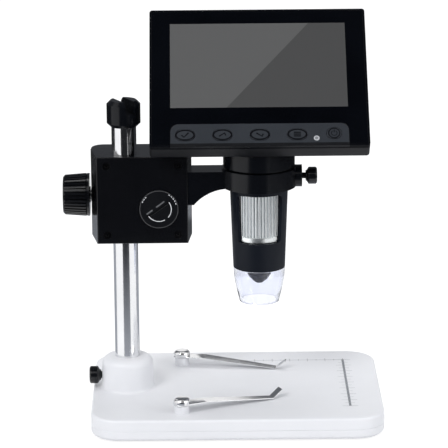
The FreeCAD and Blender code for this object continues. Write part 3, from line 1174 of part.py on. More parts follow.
def make_head_rear_shell():
    tray = new_body("tray_body")
    pad(tray, screen_slab(tray, "tray_plan", "0", SHELL_BACK), f"{FRAME_BACK} - {SHELL_BACK}")
    round_edges(tray, "tray_back_edge", level_at(value(SHELL_BACK)), "shell_round")
    hump = rounded(tray, "hump_plan", "XY_Plane", "-hump_half", "hump_half", HUMP_LOW,
                   HUMP_HIGH, "hump_round", f"{SHELL_BACK} - hump_rise")
    pad(tray, hump, "hump_rise")
    round_edges(tray, "hump_back_edge", level_at(value(f"{SHELL_BACK} - hump_rise")),
                "hump_round / 2")
    inner = screen_slab(tray, "tray_hollow", "shell_wall", FRAME_BACK)
    pocket(tray, inner, f"{FRAME_BACK} - {FLOOR_FACE}")
    hump_in = slab(tray, "hump_hollow", "XY_Plane", "-hump_half + shell_wall",
                   "hump_half - shell_wall", f"{HUMP_LOW} + shell_wall",
                   f"{HUMP_HIGH} - shell_wall", "0", FLOOR_FACE)
    pocket(tray, hump_in, "shell_floor + hump_rise - shell_wall")
    corner_bosses = [(x, y, "shell_screw_boss") for x, y in shell_screw_places()]
    pad(tray, rings(tray, "shell_screw_bosses", "XY_Plane", corner_bosses, FLOOR_FACE),
        f"{FRAME_BACK} - {FLOOR_FACE}")
    rests = [(f"{i} * ({HALF_W} - board_post_inset)", up, "board_post") for i in (-1, 1)
             for up in (f"{FACE_LOW} + board_low_inset + board_post_up",
                        f"{FACE_HIGH} - board_high_inset - board_post_up")]
    pad(tray, rings(tray, "board_rests", "XY_Plane", rests, FLOOR_FACE), "board_rise")
    boss = rings(tray, "dimmer_boss", "XY_Plane", [(DIMMER_X, DIMMER_UP, "dimmer_boss")],
                 HUMP_FLOOR)
    pad(tray, boss, "dimmer_thick - dimmer_gap")
    sinks = [(x, y, "shell_screw_head + press_fit") for x, y in shell_screw_places()]
    pocket(tray, rings(tray, "shell_screw_sinks", "XY_Plane", sinks, SHELL_BACK),
           "shell_screw_sink", flip=True)
    shanks = [(x, y, "shell_screw_shank + press_fit") for x, y in shell_screw_places()]
    pocket(tray, rings(tray, "shell_screw_holes", "XY_Plane", shanks, SHELL_BACK),
           f"-{SHELL_BACK}", flip=True)
    axle = rings(tray, "dimmer_axle_hole", "XY_Plane",
                 [(DIMMER_X, DIMMER_UP, "dimmer_axle + dimmer_fit")],
                 f"{HUMP_FLOOR} + dimmer_gap / 4")
    pocket(tray, axle, "dimmer_thick", flip=True)
    wheel_slot = slab(tray, "dimmer_slot", "YZ_Plane",
                      f"{DIMMER_UP} - dimmer_radius - dimmer_gap",
                      f"{DIMMER_UP} + dimmer_radius + dimmer_gap", f"{DIMMER_LOW} - dimmer_gap",
                      f"{DIMMER_LOW} + dimmer_thick + dimmer_gap", "0", "hump_half - shell_wall * 2")
    pocket(tray, wheel_slot, "shell_wall * 4", flip=True)
    usb, card = port_blocks("shell_hole", "glass_gap", "shell_wall")
    lean_back(tray)
    ports = lean_back(group("port_holes", [usb, card]))

    rise = "(face_z - neck_seam)"
    neck = cylinder("neck_outer", "neck_radius", f"{rise} + {HALF_W}", (HEAD_X, "0", "neck_seam"))
    bore = cylinder("neck_bore", "neck_radius - neck_wall", f"{rise} + {WIDE}",
                    (HEAD_X, "0", "neck_seam - neck_wall"))
    inside = [block("space_before_shell", (f"-{WIDE}", f"-{WIDE}",
                                           f"{SHELL_BACK} + shell_floor / 2"),
                    (f"{WIDE} * 2", f"{WIDE} * 2", WIDE)),
              block("space_in_hump", ("-hump_half + shell_wall", f"{HUMP_LOW} + shell_wall",
                                      HUMP_FLOOR),
                    ("2 * (hump_half - shell_wall)", "hump_height - 2 * shell_wall", WIDE))]
    before_floor = block("space_before_floor", (f"-{WIDE}", f"-{WIDE}",
                                                f"{FLOOR_FACE} + press_fit"),
                         (f"{WIDE} * 2", f"{WIDE} * 2", WIDE))
    neck_part = cut("neck_part", neck, lean_back(group("space_inside_shell", inside)))
    bore_part = cut("bore_part", bore, lean_back(group("space_past_floor", [before_floor])))
    outer = fuse("shell_and_neck", tray, neck_part)
    finished("head_rear_shell", cut("head_rear_shell", outer, bore_part, ports))


def make_shell_screws():
    screws = []
    for i, (x, y) in enumerate(shell_screw_places()):
        head = cylinder(f"shell_screw_head_{i}", "shell_screw_head", "shell_screw_sink",
                        (x, y, SHELL_BACK))
        shank = cylinder(f"shell_screw_shank_{i}", "shell_screw_shank",
                         f"{FRAME_BACK} - {SHELL_BACK} + shell_screw_bite - press_fit",
                         (x, y, SHELL_BACK))
        screws.append(fuse(f"shell_screw_{i}", head, shank))
    finished("shell_screws", lean_back(group("shell_screws", screws)))


def head_turned(node, points, sketch_name):
    """A piece turned about the barrel's axis; its points are (radius, height)."""
    body = new_body(node + "_turned_body")
    turned(body, outline(body, sketch_name, "XZ_Plane", points))
    return place(body, (HEAD_X, "0", "0"))


def make_neck_collar():
    inner = "(neck_radius - neck_wall)"
    seat = "(seat_radius + thread_fit)"
    points = [("collar_step_radius", f"{RING_TOP} + ring_rest_gap"),
              ("collar_step_radius", "collar_low"), ("neck_radius", "collar_low"),
              ("neck_radius", "neck_seam"), (inner, "neck_seam"),
              (inner, "collar_low + collar_floor"), (seat, "collar_low + collar_floor"),
              (seat, f"{RING_TOP} + ring_rest_gap")]
    finished("neck_collar", head_turned("neck_collar", points, "collar_profile"))


def barrel_radius(height):
    """Outer radius of the tapering barrel at a height below the ring."""
    return ("(barrel_end_radius + (barrel_top_radius - barrel_end_radius)"
            f" * ({height} - barrel_end) / (ring_low - seat_gap - barrel_end))")


def make_barrel_housing():
    flange_low = "(collar_low + collar_floor + press_fit)"
    ledge = "(window_low - wheel_gap)"
    points = [("barrel_end_radius", "barrel_end"),
              ("barrel_top_radius", "ring_low - seat_gap"), ("seat_radius", "ring_low - seat_gap"),
              ("seat_radius", flange_low), ("barrel_flange", flange_low),
              ("barrel_flange", f"{flange_low} + barrel_flange_rise"),
              ("seat_radius - barrel_wall", f"{flange_low} + barrel_flange_rise"),
              ("barrel_top_radius - barrel_wall", "ring_low - seat_gap"),
              (f"{barrel_radius(ledge)} - barrel_wall", ledge), ("ledge_radius", ledge),
              ("ledge_radius", f"{ledge} - ledge_rise"),
              (f"{barrel_radius(ledge + ' - ledge_rise')} - barrel_wall",
               f"{ledge} - ledge_rise"),
              ("barrel_end_radius - barrel_wall", "barrel_end")]
    body = head_turned("barrel_housing", points, "barrel_profile")
    window = new_body("window_cut")
    plan = rounded(window, "window_plan", "XZ_Plane", "-window_half", "window_half",
                   "window_low", "window_high", "window_corner", "window_plane")
    pad(window, plan, "neck_radius")
    place(window, (HEAD_X, "0", "0"))
    finished("barrel_housing", cut("barrel_housing", body, window))


def make_focus_wheel():
    low, high = "window_low", "(window_high - wheel_gap)"
    body = new_body("focus_wheel")
    points = [("wheel_bore", low), ("wheel_radius", low), ("wheel_radius", high),
              ("wheel_bore", high)]
    turned(body, outline(body, "wheel_profile", "XZ_Plane", points))
    groove = slab(body, "wheel_groove_plan", "XY_Plane", "wheel_radius - wheel_groove",
                  "wheel_radius + wheel_groove", "-wheel_groove_width / 2", "wheel_groove_width / 2", "0",
                  f"{low} + wheel_band")
    repeat_round(body, pocket(body, groove, "window_high - window_low", flip=True), "wheel_ribs")
    finished("focus_wheel", place(body, (HEAD_X, "0", "0")))


def make_lens_carrier():
    top = "(carrier_low + carrier_height)"
    lip = "(carrier_bore - lens_lip)"
    points = [(lip, "carrier_low"), ("carrier_radius", "carrier_low"), ("carrier_radius", top),
              ("carrier_bore", top), ("carrier_bore", "carrier_low + lens_lip"),
              (lip, "carrier_low + lens_lip")]
    finished("lens_carrier", head_turned("lens_carrier", points, "carrier_profile"))


def make_lens_elements():
    lenses = [cylinder(f"lens_{i}", "carrier_bore - press_fit", "lens_thick",
                       (HEAD_X, "0", f"carrier_low + lens_lip + {i} * lens_gap"))
              for i in range(int(value("lens_count")))]
    finished("lens_elements", group("lens_elements", lenses))


def make_sensor_board():
    disc = cylinder("sensor_disc", "barrel_top_radius - barrel_wall - sensor_gap",
                    "sensor_board_thick", (HEAD_X, "0", "sensor_z"))
    chip = block("sensor_chip", (f"{HEAD_X} - sensor_side / 2", "-sensor_side / 2",
                                 "sensor_z - sensor_rise"),
                 ("sensor_side", "sensor_side", "sensor_rise"))
    finished("sensor_board", fuse("sensor_board", disc, chip))


LIGHT_BOARD_LOW = "(barrel_end + shroud_spigot + light_board_gap)"


def make_light_board():
    outer = f"({barrel_radius(LIGHT_BOARD_LOW)} - barrel_wall - light_board_gap)"
    finished("light_board", tube("light_board", outer, "nose_radius + light_board_gap",
                                 "light_board_thick", (HEAD_X, "0", LIGHT_BOARD_LOW)))


def make_light_leds():
    turn = "360 / light_count"
    lights = [cylinder(f"light_{i}", "light_radius", "light_rise",
                       (f"{HEAD_X} + light_circle * cos({i} * {turn})",
                        f"light_circle * sin({i} * {turn})", f"{LIGHT_BOARD_LOW} - light_rise"))
              for i in range(int(value("light_count")))]
    finished("light_leds", group("light_leds", lights))


def make_nose_cone():
    flange = f"({LIGHT_BOARD_LOW} + light_board_thick)"
    points = [("nose_hole", "nose_tip"), ("nose_tip_radius", "nose_tip"),
              ("nose_radius", "nose_shoulder"), ("nose_radius", flange),
              ("nose_radius + nose_tip_radius", flange),
              ("nose_radius + nose_tip_radius", f"{flange} + nose_hole"),
              ("nose_bore", f"{flange} + nose_hole"), ("nose_bore", "nose_shoulder + nose_hole")]
    finished("nose_cone", head_turned("nose_cone", points, "nose_profile"))


def make_clear_shroud():
    spigot = "(barrel_end_radius - barrel_wall - shroud_gap)"
    inner = "(-shroud_wall)"
    points = [("shroud_low_radius - shroud_lip", "shroud_low"),
              ("shroud_low_radius", "shroud_low"), ("shroud_mid_radius", "shroud_mid"),
              ("shroud_bulge_radius", "shroud_bulge"),
              ("barrel_end_radius - shroud_gap", "barrel_end - shroud_gap"),
              (spigot, "barrel_end - shroud_gap"), (spigot, "barrel_end + shroud_spigot"),
              (f"{spigot} + {inner}", "barrel_end + shroud_spigot"),
              (f"{spigot} + {inner}", "barrel_end - shroud_wall"),
              (f"shroud_bulge_radius + {inner}", "shroud_bulge"),
              (f"shroud_mid_radius + {inner}", "shroud_mid"),
              ("shroud_low_radius - shroud_lip - shroud_wall / 4", "shroud_low + shroud_wall")]
    finished("clear_shroud", head_turned("clear_shroud", points, "shroud_profile"))


def build_all():
    make_base_top_cover()
    make_base_bottom_cover()
    make_base_ballast_plate()
    make_base_screws()
    make_rubber_feet()
    make_base_insert()
    make_base_thumbscrew()
    make_post_tube()
    make_post_cap()
    for prefix, (x, y), turn in zip(("rear_clip", "front_clip"), clip_places(),
                                    ("clip_back_turn", "clip_front_turn")):
        make_clip(prefix, x, y, turn)
    make_carriage_front_shell()
    make_carriage_rear_shell()
    make_case_screws()
    make_guide_bushes()
    make_shaft_bushes()
    make_holder_arm()
    make_arm_screws()
    make_ring_insert()
    make_ring_thumbscrew()
    make_focus_knob()
    make_focus_shaft()
    make_friction_roller()
    make_shaft_clip()
    make_lock_dial()
    make_lock_cam()
    make_brake_shoe()
    make_screen_front_frame()
    make_screen_glass()
    make_lcd_panel()
    make_keypad_strip()
    make_keys()
    make_key_switches()
    make_status_lamp()
    make_main_board()
    make_ports()
    make_battery()
    make_dimmer_wheel()
    make_head_rear_shell()
    make_shell_screws()
    make_neck_collar()
    make_barrel_housing()
    make_focus_wheel()
    make_lens_carrier()
    make_lens_elements()
    make_sensor_board()
    make_light_board()
    make_light_leds()
    make_nose_cone()
    make_clear_shroud()


def check_all():
    """Stop before anything is written if an object failed or a piece is not a valid solid."""
    doc.recompute()
    failed = [item.Name for item in doc.Objects
              if {"Invalid", "Error"} & set(item.State)]
    assert not failed, "failed objects: " + ", ".join(failed)
    for node, item in PARTS.items():
        shape = item.Shape
        assert not shape.isNull() and shape.isValid() and shape.Solids, node + " is not solid"


build_all()
check_all()
os.makedirs("parts", exist_ok=True)
for node, item in PARTS.items():
    item.Shape.exportStep(f"parts/{node}.step")
    box = item.Shape.BoundBox
    print(f"{node}: {len(item.Shape.Solids)} solid, {item.Shape.Volume:.1f} mm3,"
          f" z {box.ZMin:.2f} to {box.ZMax:.2f}")
print(len(PARTS), "nodes")
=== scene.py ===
import json
import math

import bmesh
import bpy
from mathutils import Matrix, Vector

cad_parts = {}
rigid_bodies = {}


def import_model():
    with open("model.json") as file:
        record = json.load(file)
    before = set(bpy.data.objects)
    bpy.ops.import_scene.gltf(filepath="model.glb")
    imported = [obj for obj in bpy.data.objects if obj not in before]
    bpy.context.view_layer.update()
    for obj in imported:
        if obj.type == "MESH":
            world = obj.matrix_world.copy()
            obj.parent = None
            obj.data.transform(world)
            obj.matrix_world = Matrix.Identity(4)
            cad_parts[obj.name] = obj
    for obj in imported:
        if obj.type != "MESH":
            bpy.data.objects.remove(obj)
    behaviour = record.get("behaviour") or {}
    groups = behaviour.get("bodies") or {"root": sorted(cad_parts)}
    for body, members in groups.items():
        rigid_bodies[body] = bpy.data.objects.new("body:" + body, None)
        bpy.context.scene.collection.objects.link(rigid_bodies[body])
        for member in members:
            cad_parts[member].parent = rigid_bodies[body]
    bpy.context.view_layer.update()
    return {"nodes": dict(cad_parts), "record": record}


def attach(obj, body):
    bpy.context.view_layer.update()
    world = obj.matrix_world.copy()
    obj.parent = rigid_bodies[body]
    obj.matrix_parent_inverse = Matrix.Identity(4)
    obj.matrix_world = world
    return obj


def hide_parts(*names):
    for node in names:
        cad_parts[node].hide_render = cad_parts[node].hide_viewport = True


# Looks of a bench microscope with a tilted screen on a post stand, metres, +Z up.

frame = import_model()
nodes = frame["nodes"]

MM = 0.001
BARREL_X = 20.3 * MM
POST_X = -52.5 * MM
STAGE_Z = 13.0 * MM
FACE_Y = 2.7 * MM
FACE_Z = 186.4 * MM
FACE_LEAN = math.radians(45)
FACE_LOW = -43.6 * MM
DIAL_X = -34.0 * MM
DIAL_Z = 116.2 * MM
DIAL_FACE_Y = -9.25 * MM
PRINT_RISE = 0.03 * MM
SHARP_ANGLE = 30
BEVEL_STEPS = 2
WELD_REACH = 2e-6
FLAT_ANGLE = math.radians(0.4)
TURNED_STEPS = 96
RIB_SIDES = 20

FACE = Matrix.Translation((BARREL_X, FACE_Y, FACE_Z)) @ Matrix.Rotation(FACE_LEAN, 4, "X")
DIAL = Matrix.Translation((DIAL_X, DIAL_FACE_Y, DIAL_Z)) @ Matrix.Rotation(math.radians(90), 4, "X")


# Materials

class Finish:
    """One material, built from a principled shader and the object's own coordinates."""

    def __init__(self, name, colour, rough, metal=0.0, **sockets):
        self.material = bpy.data.materials.new(name)
        self.material.use_nodes = True
        self.tree = self.material.node_tree
        self.shader = self.tree.nodes["Principled BSDF"]
        self.set(Roughness=rough, Metallic=metal, **{"Base Color": (*colour, 1.0)})
        self.set(**{key.replace("_", " "): number for key, number in sockets.items()})
        self.colour = colour
        self.rough = rough
        self.place = self.add("ShaderNodeTexCoord").outputs["Object"]

    def set(self, **sockets):
        for key, number in sockets.items():
            self.shader.inputs[key].default_value = number

    def add(self, kind, **settings):
        node = self.tree.nodes.new(kind)
        for key, setting in settings.items():
            setattr(node, key, setting)
        return node

    def join(self, output, socket):
        self.tree.links.new(output, socket)

    def mapped(self, scale=(1, 1, 1), turn=(0, 0, 0), shift=(0, 0, 0)):
        """The object's coordinates, scaled, turned and moved."""
        mapping = self.add("ShaderNodeMapping")
        mapping.inputs["Scale"].default_value = scale
        mapping.inputs["Rotation"].default_value = turn
        mapping.inputs["Location"].default_value = shift
        self.join(self.place, mapping.inputs["Vector"])
        return mapping.outputs["Vector"]

    def on_face(self):
        """How far a point lies across and up the leaning screen face."""
        back = FACE.inverted()
        split = self.add("ShaderNodeSeparateXYZ")
        self.join(self.mapped(turn=back.to_euler(), shift=back.to_translation()),
                  split.inputs["Vector"])
        return split.outputs["X"], split.outputs["Y"]

    def noise(self, scale, detail=2.0, stretch=(1, 1, 1)):
        node = self.add("ShaderNodeTexNoise")
        node.inputs["Scale"].default_value = scale
        node.inputs["Detail"].default_value = detail
        self.join(self.mapped(scale=stretch), node.inputs["Vector"])
        return node.outputs["Fac"]

    def band(self, value, low, high):
        """The middle of a noise, spread over a range."""
        node = self.add("ShaderNodeMapRange")
        node.inputs["From Min"].default_value = 0.3
        node.inputs["From Max"].default_value = 0.7
        node.inputs["To Min"].default_value = low
        node.inputs["To Max"].default_value = high
        self.join(value, node.inputs["Value"])
        return node.outputs["Result"]

    def blend(self, factor, first, second):
        node = self.add("ShaderNodeMix", data_type="RGBA")
        self.join(factor, node.inputs["Factor"])
        for socket, colour in ((node.inputs[6], first), (node.inputs[7], second)):
            if isinstance(colour, bpy.types.NodeSocket):
                self.join(colour, socket)
            else:
                socket.default_value = (*colour, 1.0)
        return node.outputs[2]

    def math(self, operation, first, second=0.0):
        node = self.add("ShaderNodeMath", operation=operation)
        for socket, value in zip(node.inputs, (first, second)):
            if isinstance(value, bpy.types.NodeSocket):
                self.join(value, socket)
            else:
                socket.default_value = value
        return node.outputs[0]

    def mottled(self, scale, spread):
        """The colour drifts a little lighter and darker over the surface."""
        dark = [c * (1 - spread) for c in self.colour]
        light = [min(1.0, c * (1 + spread)) for c in self.colour]
        colour = self.blend(self.band(self.noise(scale, 3.0), 0.0, 1.0), dark, light)
        self.join(colour, self.shader.inputs["Base Color"])
        return colour

    def handled(self, scale, spread):
        """Gloss changes a little, as on a surface that hands have touched."""
        result = self.band(self.noise(scale, 4.0), self.rough - spread, self.rough + spread)
        self.join(result, self.shader.inputs["Roughness"])

    def grain(self, scale, height, stretch=(1, 1, 1), detail=2.0):
        """Fine unevenness of the surface, of the given height."""
        bump = self.add("ShaderNodeBump")
        bump.inputs["Strength"].default_value = 1.0
        bump.inputs["Distance"].default_value = height
        self.join(self.noise(scale, detail, stretch), bump.inputs["Height"])
        self.join(bump.outputs["Normal"], self.shader.inputs["Normal"])


def moulded(name, colour, rough, grain, gloss, spread=0.06):
    """Plastic or rubber; grain is its height in millimetres, gloss the shader's specular level."""
    finish = Finish(name, colour, rough, Specular_IOR_Level=gloss)
    finish.mottled(45, spread)
    finish.handled(70, rough * 0.14)
    finish.grain(2600, grain * MM)
    return finish.material


def drawn_metal(name, colour, rough, stretch, scale=900, height=0.0015, spread=0.04, wear=0.3):
    """Metal whose fine lines run the way that stretch is small; height is in millimetres."""
    finish = Finish(name, colour, rough, 1.0)
    finish.mottled(60, spread)
    finish.handled(140, rough * wear)
    finish.grain(scale, height * MM, stretch)
    return finish.material


WHITE_SHELL = moulded("white_moulding", (0.79, 0.793, 0.818), 0.42, 0.004, 0.4, 0.012)
BLACK_CASE = moulded("black_case_moulding", (0.0028, 0.0031, 0.0044), 0.2, 0.004, 0.4)
BLACK_SATIN = moulded("black_satin_moulding", (0.0027, 0.0033, 0.0050), 0.21, 0.003, 0.25)
FRAME_BLACK = moulded("screen_frame_black", (0.0022, 0.0026, 0.004), 0.3, 0.004, 0.03)
SHELL_BLACK = moulded("head_shell_black", (0.0044, 0.0048, 0.0064), 0.34, 0.005, 0.15)
BARREL_BLACK = moulded("barrel_soft_black", (0.0046, 0.0066, 0.0115), 0.42, 0.004, 0.15)
BLACK_KNOB = moulded("black_knob_moulding", (0.0034, 0.0038, 0.0052), 0.17, 0.003, 0.4)
DIAL_BLACK = moulded("dial_black", (0.0042, 0.0047, 0.0062), 0.36, 0.004, 0.18)
KEY_GREY = moulded("key_film", (0.0225, 0.0258, 0.0318), 0.40, 0.004, 0.17, 0.05)
GROOVE_BLACK = moulded("groove_black", (0.003, 0.003, 0.004), 0.6, 0.003, 0.15)
KEY_PRINT = moulded("key_print", (0.0016, 0.002, 0.0036), 0.5, 0.002, 0.06)
DIAL_PRINT = moulded("dial_print", (0.62, 0.63, 0.65), 0.55, 0.002, 0.3, 0.08)
CHORD_PRINT = moulded("chord_print", (0.09, 0.092, 0.098), 0.55, 0.002, 0.3, 0.4)
# Pale grey for the painted highlight round the dial's rim, where light catches its edge.
DIAL_RIM_HIGHLIGHT = moulded("dial_rim_painted_highlight", (0.11, 0.11, 0.115), 0.55, 0.002, 0.3, 0.15)
RULER_PRINT = moulded("ruler_print", (0.42, 0.43, 0.45), 0.6, 0.002, 0.2, 0.12)
RULER_BOLD = moulded("ruler_bold_print", (0.25, 0.26, 0.28), 0.6, 0.002, 0.2, 0.1)
FOOT_RUBBER = moulded("foot_rubber", (0.02, 0.02, 0.021), 0.75, 0.012, 0.2)
ACETAL = moulded("natural_acetal", (0.72, 0.72, 0.68), 0.4, 0.003, 0.4, 0.02)
BOARD_GREEN = moulded("board_green", (0.02, 0.11, 0.05), 0.35, 0.004, 0.4)
BOARD_WHITE = moulded("board_white", (0.80, 0.81, 0.82), 0.4, 0.003, 0.4, 0.02)
LAMP_WHITE = moulded("lamp_white", (0.82, 0.83, 0.85), 0.2, 0.001, 0.5, 0.02)
LAMP_GREY = moulded("lamp_grey", (0.20, 0.205, 0.22), 0.25, 0.001, 0.5, 0.1)
CONE_BLACK = moulded("cone_black", (0.011, 0.015, 0.030), 0.36, 0.004, 0.3)
POST_STEEL = drawn_metal("post_steel", (0.79, 0.795, 0.81), 0.12, (1, 1, 0.02), 900, 0.0006)
SHEET_STEEL = drawn_metal("sheet_steel", (0.5, 0.5, 0.51), 0.35, (0.05, 1, 1))
SCREW_STEEL = drawn_metal("screw_steel", (0.6, 0.6, 0.61), 0.3, (1, 1, 1), 1500)
BLACK_STEEL = drawn_metal("black_oxide", (0.016, 0.016, 0.018), 0.38, (1, 1, 1), 1500)
BRASS = drawn_metal("turned_brass", (0.72, 0.53, 0.25), 0.28, (0.05, 1, 1))
WHEEL_METAL = drawn_metal("wheel_metal", (0.95, 0.985, 1.0), 0.3, (1, 1, 0.01), 300, 0.0001, 0.01, 0.05)
# Grey metal painted darker for the shade in the gaps between the wheel's ribs.
WHEEL_GROOVE_SHADE = drawn_metal("wheel_painted_groove_shade", (0.42, 0.45, 0.48), 0.4, (1, 1, 0.05))
CLIP_CHROME = drawn_metal("clip_chrome", (0.80, 0.80, 0.81), 0.10, (0.06, 1, 1), 700, 0.0008)


def clear_moulding():
    """Clear plastic with a cold tint and the faint ripples of a thick moulding."""
    finish = Finish("clear_moulding", (0.875, 0.893, 0.965), 0.03, IOR=1.49,
                    Transmission_Weight=1.0)
    finish.mottled(80, 0.012)
    finish.grain(120, 0.09 * MM, (1, 1, 0.7), detail=3.0)
    return finish.material


def lens_glass():
    finish = Finish("lens_glass", (0.9, 0.95, 0.97), 0.01, IOR=1.52, Transmission_Weight=1.0,
                    Coat_Weight=0.3, Coat_Tint=(0.6, 0.75, 1.0, 1.0))
    finish.mottled(200, 0.01)
    return finish.material


def front_glass():
    """Black printed border round a grey display that carries one slanting band of reflected light."""
    finish = Finish("front_glass", (0.002, 0.0022, 0.0028), 0.07, Specular_IOR_Level=0.3)
    across, up = finish.on_face()
    half_width, middle, half_height = 47.52 * MM, 7.53 * MM, 26.93 * MM
    slope, start = 0.8355, -1.1 * MM
    inside = finish.math("MULTIPLY",
                         finish.math("LESS_THAN", finish.math("ABSOLUTE", across), half_width),
                         finish.math("LESS_THAN", finish.math(
                             "ABSOLUTE", finish.math("SUBTRACT", up, middle)), half_height))
    slant = finish.math("ADD", finish.math("MULTIPLY", up, slope), start)
    lit = finish.math("LESS_THAN", across, slant)
    drift = finish.band(finish.noise(30, 2.0), -0.004, 0.004)
    grey = finish.blend(lit, (0.0600, 0.0600, 0.0602), (0.0920, 0.0920, 0.0920))
    dark = finish.blend(finish.band(finish.noise(25, 2.0), 0.0, 1.0),
                        (0.0012, 0.0015, 0.0024), (0.0022, 0.0027, 0.0042))
    finish.join(finish.blend(inside, dark, grey), finish.shader.inputs["Base Color"])
    finish.join(finish.math("ADD", drift, 0.08), finish.shader.inputs["Roughness"])
    return finish.material


def keypad_film():
    """Grey film whose lowest edge is printed black, like the border above it."""
    finish = Finish("keypad_film", (0.0225, 0.0258, 0.0318), 0.42, Specular_IOR_Level=0.15)
    grey = finish.mottled(45, 0.05)
    finish.handled(70, 0.06)
    finish.grain(2600, 0.004 * MM)
    black_edge, black = 1.9 * MM, (0.0022, 0.0027, 0.0042)
    below = finish.math("LESS_THAN", finish.on_face()[1], FACE_LOW + black_edge)
    finish.join(finish.blend(below, grey, black), finish.shader.inputs["Base Color"])
    return finish.material


CLEAR = clear_moulding()
KEYPAD_GREY = keypad_film()
LENS = lens_glass()
FRONT_GLASS = front_glass()

SLOT_OF = {entry["node"]: entry["material_slot"] for entry in frame["record"]["subparts"]}
BODY_OF = {node: body for body, members in frame["record"]["behaviour"]["bodies"].items()
           for node in members}


# Making pieces

def link(name, mesh, paint):
    """A new object with one material, at the origin."""
    mesh.materials.clear()
    mesh.materials.append(paint)
    piece = bpy.data.objects.new(name, mesh)
    bpy.context.scene.collection.objects.link(piece)
    return piece


def shade(mesh):
    mesh.polygons.foreach_set("use_smooth", [True] * len(mesh.polygons))
    mesh.set_sharp_from_angle(angle=math.radians(SHARP_ANGLE))


def soften(piece, width):
    bevel = piece.modifiers.new("soft_edges", "BEVEL")
    bevel.width = width
    bevel.segments = BEVEL_STEPS
    bevel.limit_method = "ANGLE"
    bevel.angle_limit = math.radians(SHARP_ANGLE)
    bevel.harden_normals = True
    bevel.use_clamp_overlap = True


def dress(node, paint, edge=0.0):
    """A welded copy of a CAD node with smooth faces and soft edges, shown in the node's place.

    The edge's width is in millimetres.
    """
    source = nodes[node].data
    mesh = bpy.data.meshes.new(node + "_shown")
    mesh.from_pydata([v.co[:] for v in source.vertices], [], [p.vertices[:] for p in source.polygons])
    work = bmesh.new()
    work.from_mesh(mesh)
    bmesh.ops.remove_doubles(work, verts=work.verts, dist=WELD_REACH)
    bmesh.ops.dissolve_limit(work, angle_limit=FLAT_ANGLE, verts=work.verts, edges=work.edges)
    work.to_mesh(mesh)
    work.free()
    piece = link(node + "_shown", mesh, paint)
    shade(mesh)
    if edge:
        soften(piece, edge * MM)
    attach(piece, BODY_OF[node])
    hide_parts(node)
    return piece


def paint_node(node, paint):
    mesh = nodes[node].data
    mesh.materials.clear()
    mesh.materials.append(paint)


def stroke(points, width, closed=False):
    """A flat printed line through points, as a mesh in the XY plane."""
    curve = bpy.data.curves.new("stroke", "CURVE")
    curve.dimensions = "3D"
    curve.bevel_depth = width / 2
    curve.bevel_resolution = 2
    curve.use_fill_caps = True
    spline = curve.splines.new("POLY")
    spline.points.add(len(points) - 1)
    for point, (x, y) in zip(spline.points, points):
        point.co = (x, y, 0, 1)
    spline.use_cyclic_u = closed
    holder = bpy.data.objects.new("stroke", curve)
    bpy.context.scene.collection.objects.link(holder)
    mesh = bpy.data.meshes.new_from_object(holder.evaluated_get(
        bpy.context.evaluated_depsgraph_get()))
    bpy.data.objects.remove(holder)
    mesh.transform(Matrix.Diagonal((1, 1, PRINT_RISE / width * 2, 1)))
    return mesh


def arc(radius, start, end, steps=24, centre=(0, 0), squash=1.0):
    angles = [math.radians(start + (end - start) * i / steps) for i in range(steps + 1)]
    return [(centre[0] + radius * math.cos(a), centre[1] + squash * radius * math.sin(a))
            for a in angles]


def printed(name, meshes, place, body, paint, slot):
    """Flat printed marks joined to one piece and put on a face."""
    work = bmesh.new()
    for mesh in meshes:
        work.from_mesh(mesh)
    joined = bpy.data.meshes.new(name)
    work.to_mesh(joined)
    work.free()
    joined.transform(place)
    piece = link(name, joined, paint)
    shade(joined)
    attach(piece, body)
    return piece


# Geometry node trees

class Tree:
    """A geometry node tree with named sizes."""

    def __init__(self, name, sizes):
        self.group = bpy.data.node_groups.new(name, "GeometryNodeTree")
        self.group.interface.new_socket("Geometry", in_out="OUTPUT",
                                        socket_type="NodeSocketGeometry")
        self.ids = {}
        for size, kind in sizes.items():
            socket = self.group.interface.new_socket(size, in_out="INPUT", socket_type=kind)
            self.ids[size] = socket.identifier
        self.start = self.group.nodes.new("NodeGroupInput")
        self.end = self.group.nodes.new("NodeGroupOutput")

    def add(self, kind, inputs=(), **settings):
        node = self.group.nodes.new("GeometryNode" + kind if not kind.startswith("Shader")
                                    and not kind.startswith("Function") else kind)
        for key, setting in settings.items():
            setattr(node, key, setting)
        for key, value in dict(inputs).items():
            if isinstance(value, bpy.types.NodeSocket):
                self.group.links.new(value, node.inputs[key])
            else:
                node.inputs[key].default_value = value
        return node

    def size(self, name):
        return self.start.outputs[name]

    def close(self, geometry, paint):
        solid = self.add("RealizeInstances", {"Geometry": geometry})
        painted = self.add("SetMaterial", {"Geometry": solid.outputs[0], "Material": paint})
        self.group.links.new(painted.outputs[0], self.end.inputs[0])

    def grow(self, **sizes):
        """The tree's result as a plain mesh."""
        holder = bpy.data.objects.new("seed", bpy.data.meshes.new("seed"))
        bpy.context.scene.collection.objects.link(holder)
        modifier = holder.modifiers.new("grow", "NODES")
        modifier.node_group = self.group
        for name, value in sizes.items():
            modifier[self.ids[name]] = value
        mesh = bpy.data.meshes.new_from_object(holder.evaluated_get(
            bpy.context.evaluated_depsgraph_get()))
        bpy.data.objects.remove(holder)
        return mesh


def lathe(profile):
    """A closed outline of radius and height turned round Z."""
    work = bmesh.new()
    rings = []
    for i in range(TURNED_STEPS):
        a = math.tau * i / TURNED_STEPS
        rings.append([work.verts.new((r * math.cos(a), r * math.sin(a), z)) for r, z in profile])
    for ring, after in zip(rings, rings[1:] + rings[:1]):
        for k in range(len(profile)):
            work.faces.new((ring[k - 1], after[k - 1], after[k], ring[k]))
    bmesh.ops.recalc_face_normals(work, faces=work.faces)
    mesh = bpy.data.meshes.new("turned")
    work.to_mesh(mesh)
    work.free()
    return mesh


